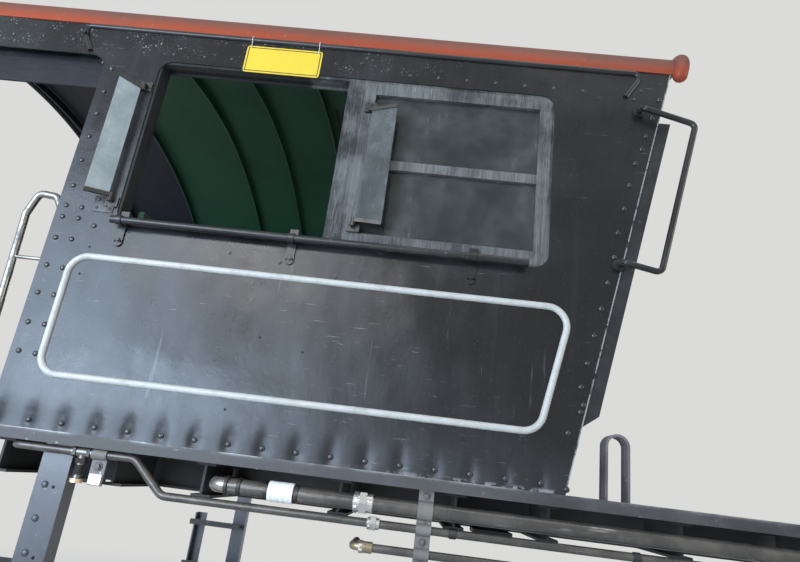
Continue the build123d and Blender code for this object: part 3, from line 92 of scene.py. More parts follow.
class Sock:
    """A node socket that takes part in Python arithmetic by adding Math nodes."""

    def __init__(self, bench: "Bench", socket: bpy.types.NodeSocket) -> None:
        """Keeps the socket and the bench that owns its node tree."""
        self.bench = bench
        self.socket = socket

    def _math(
        self, operation: str, *others: "Sock | float", swap: bool = False, clamp: bool = False
    ) -> "Sock":
        """Adds one Math node.

        Args:
            operation: the Math node's operation.
            others: further operands.
            swap: puts this socket second.
            clamp: limits the result to 0..1.

        Returns:
            The node's output.
        """
        operands: list[Sock | float] = [self, *others]
        if swap:
            operands[0], operands[1] = operands[1], operands[0]
        node = self.bench.node(
            "ShaderNodeMath", {"operation": operation, "use_clamp": clamp}, dict(enumerate(operands))
        )
        return Sock(self.bench, node.outputs[0])

    def __add__(self, other: "Sock | float") -> "Sock":
        """self + other."""
        return self._math("ADD", other)

    def __radd__(self, other: float) -> "Sock":
        """other + self."""
        return self._math("ADD", other, swap=True)

    def __sub__(self, other: "Sock | float") -> "Sock":
        """self - other."""
        return self._math("SUBTRACT", other)

    def __rsub__(self, other: float) -> "Sock":
        """other - self."""
        return self._math("SUBTRACT", other, swap=True)

    def __mul__(self, other: "Sock | float") -> "Sock":
        """self * other."""
        return self._math("MULTIPLY", other)

    def __rmul__(self, other: float) -> "Sock":
        """other * self."""
        return self._math("MULTIPLY", other, swap=True)

    def __truediv__(self, other: "Sock | float") -> "Sock":
        """self / other."""
        return self._math("DIVIDE", other)

    def __rtruediv__(self, other: float) -> "Sock":
        """other / self."""
        return self._math("DIVIDE", other, swap=True)

    def __pow__(self, other: "Sock | float") -> "Sock":
        """self ** other."""
        return self._math("POWER", other)

    def __neg__(self) -> "Sock":
        """Negative of self."""
        return self._math("MULTIPLY", -1.0)

    def __abs__(self) -> "Sock":
        """Absolute value."""
        return self._math("ABSOLUTE")

    def __gt__(self, other: "Sock | float") -> "Sock":
        """1 where self is greater, otherwise 0."""
        return self._math("GREATER_THAN", other)

    def __lt__(self, other: "Sock | float") -> "Sock":
        """1 where self is less, otherwise 0."""
        return self._math("LESS_THAN", other)

    def fract(self) -> "Sock":
        """Fractional part."""
        return self._math("FRACT")

    def cosine(self) -> "Sock":
        """Cosine of self in radians."""
        return self._math("COSINE")

    def exp(self) -> "Sock":
        """e to the power of self."""
        return self._math("EXPONENT")

    def limit(self) -> "Sock":
        """self limited to 0..1."""
        return self._math("ADD", 0.0, clamp=True)

    def step(self, low: float, high: float) -> "Sock":
        """Smooth step from 0 at low to 1 at high; low may be the larger."""
        node = self.bench.node(
            "ShaderNodeMapRange",
            {"interpolation_type": "SMOOTHSTEP"},
            {"Value": self, "From Min": low, "From Max": high, "To Min": 0.0, "To Max": 1.0},
        )
        return Sock(self.bench, node.outputs["Result"])


class Bench:
    """One material's or world's node tree, with the few ways in which nodes are added to it."""

    def __init__(self, name: str, world: bool = False) -> None:
        """Makes an empty material, or a world, of that name.

        Args:
            name: the material's name.
            world: makes a world instead of a material.
        """
        self.world = world
        self.material = bpy.data.worlds.new(name) if world else bpy.data.materials.new(name)
        self.material.use_nodes = True
        self.tree = self.material.node_tree
        self.tree.nodes.clear()
        self._coords: bpy.types.Node | None = None
        self._parts: dict[str, Sock] = {}

    def node(
        self,
        kind: str,
        settings: Mapping[str, Any] | None = None,
        values: "Mapping[str | int, Any] | None" = None,
    ) -> bpy.types.Node:
        """Adds a node.

        Args:
            kind: the node's type name.
            settings: its properties, set first.
            values: by socket name or index, a number, a colour, a Sock or an output socket.

        Returns:
            The new node.
        """
        made = self.tree.nodes.new(kind)
        for key, value in (settings or {}).items():
            setattr(made, key, value)
        for key, value in (values or {}).items():
            target = made.inputs[key]
            if isinstance(value, Sock):
                self.tree.links.new(value.socket, target)
            elif isinstance(value, bpy.types.NodeSocket):
                self.tree.links.new(value, target)
            elif isinstance(value, tuple) and target.type == "RGBA" and len(value) == 3:
                target.default_value = (*value, 1.0)
            else:
                target.default_value = value
        return made

    def place(self) -> bpy.types.NodeSocket:
        """Object coordinates, which are the cab's frame for every piece at rest."""
        if self._coords is None:
            self._coords = self.node("ShaderNodeTexCoord")
        return self._coords.outputs["Object"]

    def axis(self, letter: str) -> Sock:
        """One object coordinate, X, Y or Z."""
        if not self._parts:
            split = self.node("ShaderNodeSeparateXYZ", None, {0: self.place()})
            self._parts = {name: Sock(self, split.outputs[name]) for name in "XYZ"}
        return self._parts[letter]

    def facing(self, letter: str) -> Sock:
        """One component of the surface's normal.

        Args:
            letter: the axis.

        Returns:
            The component.
        """
        geometry = self.node("ShaderNodeNewGeometry")
        split = self.node("ShaderNodeSeparateXYZ", None, {0: geometry.outputs["True Normal"]})
        return Sock(self, split.outputs[letter])

    def stretched(self, scale: Point) -> bpy.types.NodeSocket:
        """Object coordinates scaled along each axis."""
        return self.node("ShaderNodeMapping", None, {"Vector": self.place(), "Scale": scale}).outputs[0]

    def noise(
        self, scale: float, detail: float = 4.0, rough: float = 0.55, stretch: Point | None = None
    ) -> Sock:
        """Noise from 0 to 1.

        Args:
            scale: cells per metre.
            detail: octaves.
            rough: share kept by each octave.
            stretch: scales of the three axes, to draw the noise out along one.

        Returns:
            The noise value.
        """
        where = self.stretched(stretch) if stretch else self.place()
        made = self.node(
            "ShaderNodeTexNoise",
            {"noise_dimensions": "3D"},
            {"Vector": where, "Scale": scale, "Detail": detail, "Roughness": rough},
        )
        return Sock(self, made.outputs["Fac"])

    def cells(self, scale: float) -> Sock:
        """Distance to the nearest point of a cell pattern, cells per metre."""
        made = self.node("ShaderNodeTexVoronoi", {"feature": "F1"}, {"Vector": self.place(), "Scale": scale})
        return Sock(self, made.outputs["Distance"])

    def mix(self, share: "Sock | float", first: Any, second: Any) -> bpy.types.NodeSocket:
        """Colour that goes from first to second as share goes from 0 to 1."""
        return self.node("ShaderNodeMix", {"data_type": "RGBA"}, {0: share, 6: first, 7: second}).outputs[2]

    def bump(
        self, height: Sock, distance: float, strength: float = 1.0, base: Any = None
    ) -> bpy.types.NodeSocket:
        """Normal raised by height.

        Args:
            height: 0..1 height.
            distance: metres for a height of 1.
            strength: share of the effect.
            base: a normal to start from.

        Returns:
            The bent normal.
        """
        values: dict[str | int, Any] = {"Height": height, "Distance": distance, "Strength": strength}
        if base is not None:
            values["Normal"] = base
        return self.node("ShaderNodeBump", None, values).outputs["Normal"]

    def surface(self, **values: Any) -> bpy.types.Node:
        """Adds the Principled shader; keywords are socket names with _ for a space."""
        named = {key.replace("_", " "): value for key, value in values.items()}
        return self.node("ShaderNodeBsdfPrincipled", None, named)

    def output(self, shader: bpy.types.NodeSocket) -> bpy.types.Material:
        """Joins the shader to the output and returns the material, or the world."""
        self.node(
            "ShaderNodeOutputWorld" if self.world else "ShaderNodeOutputMaterial", None, {"Surface": shader}
        )
        return self.material

    def painted(self, **values: Any) -> bpy.types.Material:
        """Adds the Principled shader with these values as the output, and returns the material."""
        return self.output(self.surface(**values).outputs[0])


@dataclass(frozen=True)
class Enamel:
    """Black cab enamel: glossy, dusted, puckered between rivets, green inside."""

    name: str = "cab_enamel"
    black: Colour = (0.0045, 0.0048, 0.0056)
    dust: Colour = (0.042, 0.046, 0.052)
    green: Colour = (0.011, 0.060, 0.030)
    shade: Colour = (0.010, 0.012, 0.018)
    bare: Colour = (0.34, 0.35, 0.35)
    row_x: float = ROW_X
    row_pitch: float = ROW_PITCH
    row_z: float = 0.212
    inside_y: float = 1.522
    edge_w: float = 0.007

    def make(self) -> bpy.types.Material:
        """Builds the material."""
        b = Bench(self.name)
        x, y, z = b.axis("X"), b.axis("Y"), b.axis("Z")
        inside = abs(y) < self.inside_y
        cloud = b.noise(1.6, 5.0, 0.6)
        fine = b.noise(24.0, 5.0, 0.65)
        flake = b.noise(110.0, 4.0, 0.6)
        streak = b.noise(3.0, 4.0, 0.6, (6.0, 6.0, 0.35))
        high = z.step(1.90, 1.97)
        chips = flake.step(0.62, 0.66) * b.noise(6.0, 2.0).step(0.44, 0.58) * high * x.step(1.0, -0.2)
        dusting = cloud.step(0.42, 0.75) * 0.24 + streak.step(0.50, 0.80) * 0.14
        dusting = (dusting + z.step(0.40, 0.19) * 0.20).limit()
        scuff = b.noise(9.0, 3.0, 0.7, (1.0, 1.0, 14.0)).step(0.655, 0.70) * cloud.step(0.45, 0.6)
        run = b.noise(26.0, 3.0, 0.6, (1.0, 1.0, 0.07)).step(0.66, 0.72) * z.step(1.06, 0.85) * 0.30
        outer = b.mix(dusting, self.black, self.dust)
        outer = b.mix((scuff * 0.30 + chips * 0.75 + run * 0.5).limit(), outer, self.bare)
        outer = b.mix(b.cells(55.0).step(0.09, 0.05) * 0.25, outer, self.bare)
        slope = x - (z - DECK_Z) * SLOPE - FRONT_X
        edge = slope.step(-self.edge_w, -self.edge_w * 0.4) * fine.step(0.36, 0.5)
        outer = b.mix(edge * 0.8, outer, self.bare)
        foot = z.step(0.204, 0.191) * fine.step(0.47, 0.56) * x.step(0.1, 0.9)
        outer = b.mix(foot * 0.6, outer, self.bare)
        inner = b.mix(cloud.step(0.35, 0.75) * 0.5, self.green, (0.008, 0.040, 0.022))
        inner = b.mix(fine.step(0.62, 0.72) * 0.4, inner, (0.05, 0.05, 0.04))
        inner = b.mix(x < DARK_X, inner, self.shade)
        colour = b.mix(inside, outer, inner)
        turn = ((x - self.row_x) * (2.0 * math.pi / self.row_pitch)).cosine()
        across = (z - self.row_z) / self.row_pitch
        above = across.step(-0.30, 0.35)
        fade = (-(across * across * (14.0 - above * 9.0))).exp()
        pucker = ((turn - 1.0) * 1.3).exp() * fade
        wave = b.noise(3.2, 2.0, 0.5, (1.0, 1.0, 0.8))
        normal = b.bump(wave, 0.026, 0.5)
        normal = b.bump(1.0 - pucker, 0.0090, 1.0, normal)
        normal = b.bump(b.noise(45.0, 5.0, 0.6), 0.0007, 0.8, normal)
        normal = b.bump(b.noise(900.0, 2.0, 0.5), 0.00006, 0.5, normal)
        rough = (0.23 + dusting * 0.40 + fine * 0.09 + inside * 0.16 + chips * 0.3).limit()
        return b.painted(
            Base_Color=colour, Roughness=rough, Metallic=0.0, Specular_IOR_Level=0.46,
            Specular_Tint=(0.94, 0.97, 1.0), Normal=normal,
        )


@dataclass(frozen=True)
class DullPaint:
    """Painted steel with dust, wear and grime; for sills, frame, hangers, doors and bars. On the rivet heads
    the worn, bared patches are also painted highlight.
    """

    name: str
    base: Colour
    dust: Colour
    metal: Colour
    rough: float = 0.5
    wear: float = 0.3
    dusting: float = 0.5
    coat: float = 0.0
    grain: float = 30.0
    edge_z: float = NOWHERE
    dark_behind: float = NOWHERE
    tread: float = 0.0
    shine: float = 0.5
    crew_side: Colour | None = None
    crew_ahead: float = -0.004

    def make(self) -> bpy.types.Material:
        """Builds the material."""
        b = Bench(self.name)
        cloud = b.noise(4.0, 5.0, 0.6)
        fine = b.noise(self.grain, 5.0, 0.65)
        rubbed = b.noise(11.0, 4.0, 0.7, (0.35, 1.0, 1.6))
        dusty = (cloud.step(0.38, 0.72) * self.dusting).limit()
        # worn patches bare the metal; on the rivet heads they are partly painted highlight
        worn = (fine.step(0.60, 0.70) * rubbed.step(0.50, 0.62) * self.wear * 2.0).limit()
        if self.edge_z > NOWHERE:
            edge = (-(abs(b.axis("Z") - self.edge_z) * 260.0)).exp() * rubbed.step(0.40, 0.62)
            worn = (worn + edge * 0.9).limit()
        colour = b.mix(dusty, self.base, self.dust)
        if self.dark_behind > NOWHERE:
            colour = b.mix(b.axis("X") < self.dark_behind, colour, (0.011, 0.013, 0.020))
        if self.crew_side is not None:
            ahead = b.axis("X") - (b.axis("Z") - DECK_Z) * SLOPE - FRONT_X
            colour = b.mix(ahead < self.crew_ahead, colour, self.crew_side)
        normal = b.bump(cloud, 0.004, 0.35)
        if self.tread > 0.0:
            lozenge = self.lozenges(b)
            worn = (worn + lozenge * 0.35).limit()
            normal = b.bump(lozenge, 0.0016, 1.0, normal)
        colour = b.mix(worn, colour, self.metal)
        normal = b.bump(fine, 0.0007, 0.8, normal)
        return b.painted(
            Base_Color=colour, Roughness=(self.rough + dusty * 0.25 - worn * 0.2).limit(),
            Metallic=worn * 0.6,
            Coat_Weight=self.coat, Coat_Roughness=0.2, Specular_IOR_Level=self.shine, Normal=normal,
        )

    def lozenges(self, b: Bench) -> Sock:
        """Raised lozenges of chequer plate on what faces up, each turned against the next.

        Args:
            b: the material's bench.

        Returns:
            The pattern.
        """
        u, v = b.axis("X") / self.tread, b.axis("Y") / self.tread
        odd = ((u - u.fract() + v - v.fract()) * 0.5).fract() * 2.0
        a, c = u.fract() - 0.5, v.fract() - 0.5
        long, short = a * odd + c * (1.0 - odd), c * odd + a * (1.0 - odd)
        return (long * long * 5.0 + short * short * 60.0).step(1.0, 0.7) * b.facing("Z").step(0.7, 0.9)


@dataclass(frozen=True)
class PipeIron:
    """Oily black pipe with rubbed scuffs, and lengths of it in brighter metal."""

    name: str
    base: Colour = (0.070, 0.065, 0.060)
    dust: Colour = (0.150, 0.136, 0.122)
    scuff: Colour = (0.55, 0.53, 0.50)
    zones: tuple[tuple[float, float, Colour, float], ...] = ()

    def make(self) -> bpy.types.Material:
        """Builds the material."""
        b = Bench(self.name)
        x = b.axis("X")
        cloud = b.noise(9.0, 5.0, 0.65)
        fine = b.noise(60.0, 5.0, 0.65, (0.10, 1.0, 1.0))
        drawn = b.noise(16.0, 4.0, 0.65, (0.16, 1.0, 1.0))
        dusty = (cloud.step(0.40, 0.70) * 0.55).limit()
        rubbed = (drawn.step(0.55, 0.66) * fine.step(0.48, 0.62)).limit()
        colour = b.mix(dusty, self.base, self.dust)
        colour = b.mix(rubbed * 0.45, colour, self.scuff)
        bright = b.axis("Y") * 0.0
        for low, high, metal, share in self.zones:
            mask = (x.step(low - 0.001, low + 0.001) * x.step(high + 0.001, high - 0.001)) * share
            grimed = b.mix(cloud.step(0.48, 0.68) * 0.7, metal, tuple(part * 0.35 for part in metal))
            colour = b.mix(mask, colour, grimed)
            bright = bright + mask
        normal = b.bump(cloud, 0.0012, 0.5)
        normal = b.bump(fine, 0.0006, 0.9, normal)
        rough = (0.27 + dusty * 0.20 - rubbed * 0.06 - bright * 0.05).limit()
        return b.painted(
            Base_Color=colour, Roughness=rough, Metallic=(0.35 + rubbed * 0.4 + bright * 0.5).limit(),
            Normal=normal,
        )


@dataclass(frozen=True)
class RoofPaint:
    """Oxide red roof: saturated low on the eaves, greyed by soot above, green under the cab's own span."""

    name: str = "roof_oxide"
    red: Colour = (0.29, 0.052, 0.022)
    soot: Colour = (0.115, 0.066, 0.052)
    green: Colour = (0.011, 0.058, 0.030)
    shade: Colour = (0.010, 0.012, 0.019)
    eave_z: float = 2.10

    def make(self) -> bpy.types.Material:
        """Builds the material."""
        b = Bench(self.name)
        x, z = b.axis("X"), b.axis("Z")
        up = b.facing("Z")
        cloud = b.noise(2.2, 5.0, 0.62)
        fine = b.noise(40.0, 5.0, 0.65)
        run = b.noise(7.0, 4.0, 0.6, (2.4, 0.5, 0.5))
        sooty = (
            z.step(self.eave_z - 0.008, self.eave_z + 0.060) * 0.72 + cloud.step(0.45, 0.8) * 0.28
        ).limit()
        colour = b.mix(sooty, self.red, self.soot)
        colour = b.mix(run.step(0.55, 0.8) * 0.40, colour, (0.20, 0.060, 0.038))
        colour = b.mix(fine.step(0.63, 0.70) * 0.5, colour, (0.10, 0.055, 0.045))
        colour = b.mix(fine.step(0.36, 0.30) * z.step(2.0, 2.12) * 0.5, colour, (0.30, 0.22, 0.19))
        under = up.step(-0.05, -0.25)
        painted = b.mix(cloud.step(0.35, 0.8) * 0.5, self.green, (0.008, 0.036, 0.020))
        painted = b.mix(x < DARK_X, painted, self.shade)
        colour = b.mix(under * z.step(2.115, 2.125), colour, painted)
        normal = b.bump(cloud, 0.012, 0.4)
        normal = b.bump(fine, 0.0007, 0.9, normal)
        return b.painted(
            Base_Color=colour, Roughness=(0.42 + sooty * 0.3).limit(), Specular_IOR_Level=0.25, Normal=normal,
        )


@dataclass(frozen=True)
class Timber:
    """Wood with grain along one axis under old paint or oil; where a last x is given, the wood behind it is
    darkened as painted shade.
    """

    name: str
    paint: Colour
    wood: Colour
    bare: float = 0.35
    along: str = "X"
    rough: float = 0.6
    # painted shade: behind this x the wood takes the near-black colour below
    dim_x: float = NOWHERE
    dim: Colour = (0.012, 0.013, 0.014)

    def make(self) -> bpy.types.Material:
        """Builds the material."""
        b = Bench(self.name)
        stretch = {"X": (0.7, 16.0, 16.0), "Y": (16.0, 0.7, 16.0), "Z": (16.0, 16.0, 0.7)}[self.along]
        grain = b.noise(5.0, 8.0, 0.7, stretch)
        fine = b.noise(22.0, 6.0, 0.7, stretch)
        cloud = b.noise(5.0, 4.0, 0.6)
        bared = ((fine * 0.5 + cloud * 0.7).step(0.60 - self.bare * 0.3, 0.72 - self.bare * 0.2)).limit()
        tone = b.mix(grain.step(0.35, 0.7), self.wood, tuple(c * 0.45 for c in self.wood))
        colour = b.mix(bared, self.paint, tone)
        colour = b.mix(fine.step(0.66, 0.72) * 0.6, colour, tuple(c * 0.3 for c in self.wood))
        scratch = b.noise(60.0, 3.0, 0.7, (1.0, 1.0, 0.12)).step(0.68, 0.72) * cloud.step(0.40, 0.60)
        colour = b.mix(scratch * 0.5, colour, tuple(min(1.0, c * 2.4) for c in self.wood))
        # painted shade: behind this x the frame goes near black, standing in for the shade on the head and
        # jamb inside the open window
        if self.dim_x > NOWHERE:
            colour = b.mix(b.axis("X").step(self.dim_x, self.dim_x - 0.02) * 0.85, colour, self.dim)
        normal = b.bump(grain, 0.0022, 0.8)
        normal = b.bump(fine, 0.0009, 0.9, normal)
        return b.painted(
            Base_Color=colour, Roughness=(self.rough + bared * 0.2).limit(), Specular_IOR_Level=0.3,
            Normal=normal,
        )


@dataclass(frozen=True)
class Metal:
    """Bare or rubbed metal with dull patches."""

    name: str
    bright: Colour
    dull: Colour
    rough: float = 0.35
    spread: float = 0.5
    grain: float = 26.0

    def make(self) -> bpy.types.Material:
        """Builds the material."""
        b = Bench(self.name)
        cloud = b.noise(12.0, 5.0, 0.65)
        fine = b.noise(self.grain * 4.0, 4.0, 0.65)
        dulled = (cloud.step(0.42, 0.66) * self.spread + fine.step(0.55, 0.72) * 0.35).limit()
        colour = b.mix(dulled, self.bright, self.dull)
        normal = b.bump(fine, 0.0004, 0.8)
        return b.painted(
            Base_Color=colour, Roughness=(self.rough + dulled * 0.3).limit(),
            Metallic=(1.0 - dulled * 0.75).limit(),
            Normal=normal,
        )


@dataclass(frozen=True)
class Plain:
    """Simple paint or stuff with fine mottling, such as the bead, the sign, tape and wire."""

    name: str
    base: Colour
    dirt: Colour
    share: float = 0.4
    rough: float = 0.5
    scale: float = 18.0
    relief: float = 0.0004

    def make(self) -> bpy.types.Material:
        """Builds the material."""
        b = Bench(self.name)
        cloud = b.noise(self.scale, 5.0, 0.65)
        fine = b.noise(self.scale * 6.0, 4.0, 0.6)
        dirty = (cloud.step(0.45, 0.75) * self.share + fine.step(0.60, 0.72) * self.share).limit()
        colour = b.mix(dirty, self.base, self.dirt)
        normal = b.bump(fine, self.relief, 0.8)
        return b.painted(
            Base_Color=colour, Roughness=(self.rough + dirty * 0.2).limit(), Normal=normal,
        )


@dataclass(frozen=True)
class Hide:
    """Creased brown leather."""

    name: str = "seat_hide"
    base: Colour = (0.060, 0.030, 0.019)
    worn: Colour = (0.16, 0.085, 0.05)

    def make(self) -> bpy.types.Material:
        """Builds the material."""
        b = Bench(self.name)
        pores = b.cells(420.0)
        creases = b.noise(34.0, 6.0, 0.72, (1.0, 0.55, 1.0))
        cloud = b.noise(7.0, 4.0, 0.6)
        colour = b.mix(cloud.step(0.4, 0.75) * 0.7, self.base, self.worn)
        colour = b.mix(creases.step(0.62, 0.70) * 0.5, colour, (0.02, 0.011, 0.008))
        normal = b.bump(creases, 0.0016, 0.8)
        normal = b.bump(pores, 0.00035, 0.8, normal)
        return b.painted(Base_Color=colour, Roughness=(0.42 + cloud * 0.25).limit(), Normal=normal)


@dataclass(frozen=True)
class Pane:
    """Old window glass, smoky or scratched grey."""

    name: str
    tint: Colour = (0.030, 0.038, 0.038)
    haze: Colour = (0.155, 0.170, 0.172)
    clear: float = 0.52
    dusty: float = 0.35

    def make(self) -> bpy.types.Material:
        """Builds the material."""
        b = Bench(self.name)
        cloud = b.noise(6.0, 5.0, 0.65)
        wiped = b.noise(3.0, 4.0, 0.6, (1.0, 1.0, 0.4))
        scratch = b.noise(40.0, 5.0, 0.7, (3.0, 3.0, 0.25))
        hazy = (
            cloud.step(0.35, 0.75) * self.dusty + scratch.step(0.60, 0.68) * 0.30 + wiped.step(0.5, 0.7) * 0.2
        ).limit()
        colour = b.mix(hazy, self.tint, self.haze)
        made = b.painted(
            Base_Color=colour, Roughness=(0.07 + hazy * 0.42).limit(),
            Alpha=(self.clear + hazy * 0.45).limit(),
        )
        made.surface_render_method = "BLENDED"
        return made


class Finishes:
    """Every finish of the cab, made once."""

    def __init__(self) -> None:
        """Makes the materials."""
        self.enamel = Enamel().make()
        # rivet heads: lighter than the sheet by worn paint and by painted highlight
        self.rivet = DullPaint(
            "rivet_black", (0.012, 0.013, 0.015), (0.06, 0.063, 0.068), (0.42, 0.42, 0.41), 0.30, 0.55, 0.45,
            coat=0.3,
            grain=90.0,
        ).make()
        # painted shade: flat near-black discs stand in for the dark inside of open holes
        self.hole = Plain("hole_dark", (0.004, 0.004, 0.004), (0.012, 0.010, 0.009), 0.4, 0.9).make()
        self.sill = DullPaint(
            "sill_black", (0.030, 0.031, 0.034), (0.095, 0.095, 0.096), (0.36, 0.37, 0.37), 0.50, 0.30, 0.60,
            edge_z=0.187,
        ).make()
        self.frame = DullPaint(
            "frame_black", (0.018, 0.018, 0.019), (0.066, 0.062, 0.057), (0.25, 0.22, 0.19), 0.62, 0.15, 0.7
        ).make()
        self.board = DullPaint(
            "board_chequer", (0.022, 0.022, 0.023), (0.075, 0.070, 0.064), (0.30, 0.28, 0.26), 0.55, 0.25,
            0.6,
            edge_z=0.159, tread=0.034,
        ).make()
        self.hanger = DullPaint(
            "hanger_black", (0.030, 0.036, 0.048), (0.085, 0.094, 0.110), (0.36, 0.36, 0.36), 0.34, 0.30, 0.5,
            coat=0.3
        ).make()
        self.clamp = DullPaint(
            "clamp_grey", (0.120, 0.118, 0.112), (0.22, 0.21, 0.19), (0.46, 0.45, 0.43), 0.50, 0.45, 0.6,
            grain=70.0
        ).make()
        plate = DullPaint(
            "front_black", (0.014, 0.015, 0.017), (0.055, 0.056, 0.056), (0.25, 0.25, 0.25), 0.42, 0.15, 0.5,
            shine=0.35
        )
        self.front = plate.make()
        wall = replace(plate, name="front_wall", crew_side=(0.012, 0.058, 0.030))
        self.front_wall = wall.make()
        self.door = replace(wall, name="front_door", crew_ahead=-0.0215).make()
        self.trim = DullPaint(
            "trim_black", (0.010, 0.011, 0.012), (0.045, 0.045, 0.046), (0.30, 0.30, 0.29), 0.33, 0.40, 0.35,
            coat=0.2,
            grain=70.0, shine=0.35,
        ).make()
        self.iron = DullPaint(
            "step_iron_worn", (0.070, 0.060, 0.065), (0.20, 0.18, 0.19), (0.50, 0.47, 0.47), 0.46, 1.0, 0.7,
            grain=45.0
        ).make()
        self.green = DullPaint(
            "crew_green", (0.011, 0.060, 0.031), (0.018, 0.045, 0.028), (0.12, 0.11, 0.09), 0.42, 0.2, 0.6,
            dark_behind=DARK_X, shine=0.35,
        ).make()
        self.pipe_large = PipeIron(
            "pipe_large",
            zones=(
                (-0.240, -0.128, (0.40, 0.39, 0.37), 0.75), (0.002, 0.021, (0.22, 0.12, 0.07), 0.8),
                (0.117, 0.136, (0.22, 0.12, 0.07), 0.8), (0.340, 0.414, (0.60, 0.59, 0.56), 0.85),
            ),
        ).make()
        self.pipe_small = PipeIron(
            "pipe_small",
            zones=((-0.752, -0.668, (0.26, 0.25, 0.23), 0.6), (0.400, 0.446, (0.60, 0.59, 0.56), 0.85)),
        ).make()
        self.pipe_low = PipeIron("pipe_low", zones=((0.330, 0.432, (0.50, 0.40, 0.24), 0.6),)).make()
        self.roof = RoofPaint().make()
        # the window frame carries painted shade behind x = -0.12
        self.window = Timber(
            "window_timber", (0.018, 0.020, 0.021), (0.125, 0.130, 0.130), 0.36, "Z", dim_x=-0.12
        ).make()
        self.sash = Timber("sash_timber", (0.036, 0.040, 0.043), (0.150, 0.156, 0.156), 0.45, "Z").make()
        self.eave = Timber("eave_timber", (0.009, 0.010, 0.015), (0.030, 0.032, 0.036), 0.15, "X").make()
        self.planks = Timber("deck_timber", (0.045, 0.038, 0.032), (0.22, 0.15, 0.095), 0.6, "X").make()
        self.bench = Timber("seat_timber", (0.012, 0.056, 0.032), (0.075, 0.060, 0.042), -0.15, "Y").make()
        self.rail = Metal("rubbed_rail", (0.30, 0.295, 0.285), (0.075, 0.070, 0.066), 0.28, 0.75).make()
        self.dark_iron = Metal("dark_iron", (0.075, 0.074, 0.072), (0.022, 0.022, 0.022), 0.42, 0.6).make()
        self.zinc = Metal("zinc_fitting", (0.62, 0.62, 0.60), (0.30, 0.29, 0.27), 0.40, 0.5).make()
        self.brass = Metal("brass_cap", (0.74, 0.58, 0.36), (0.34, 0.27, 0.17), 0.42, 0.5).make()
        self.bead = Plain("bead_white", (0.47, 0.475, 0.455), (0.19, 0.187, 0.175), 0.34, 0.42).make()
        self.sign = Plain("sign_yellow", (0.64, 0.47, 0.032), (0.46, 0.33, 0.04), 0.14, 0.42).make()
        self.sign_edge = Plain("sign_black", (0.02, 0.02, 0.02), (0.08, 0.075, 0.05), 0.12, 0.42).make()
        self.tape = Plain(
            "joint_tape", (0.78, 0.78, 0.77), (0.42, 0.41, 0.38), 0.22, 0.55, 40.0, 0.0012
        ).make()
        self.wire = Plain("tie_wire", (0.70, 0.69, 0.65), (0.30, 0.28, 0.25), 0.3, 0.5).make()
        self.hide = Hide().make()
        self.glass = Pane("sash_glass").make()
        self.wing_rear_glass = Pane(
            "wing_rear_glass", (0.25, 0.29, 0.30), (0.42, 0.46, 0.47), 0.86, 0.50
        ).make()
        self.wing_fore_glass = Pane(
            "wing_fore_glass", (0.070, 0.080, 0.080), (0.20, 0.215, 0.215), 0.66, 0.45
        ).make()


def placed(name: str, data: bpy.types.ID) -> bpy.types.Object:
    """Puts a mesh, lamp or camera into the scene.

    Args:
        name: the object's name.
        data: what the object shows.

    Returns:
        The object.
    """
    made = bpy.data.objects.new(name, data)
    bpy.context.scene.collection.objects.link(made)
    return made


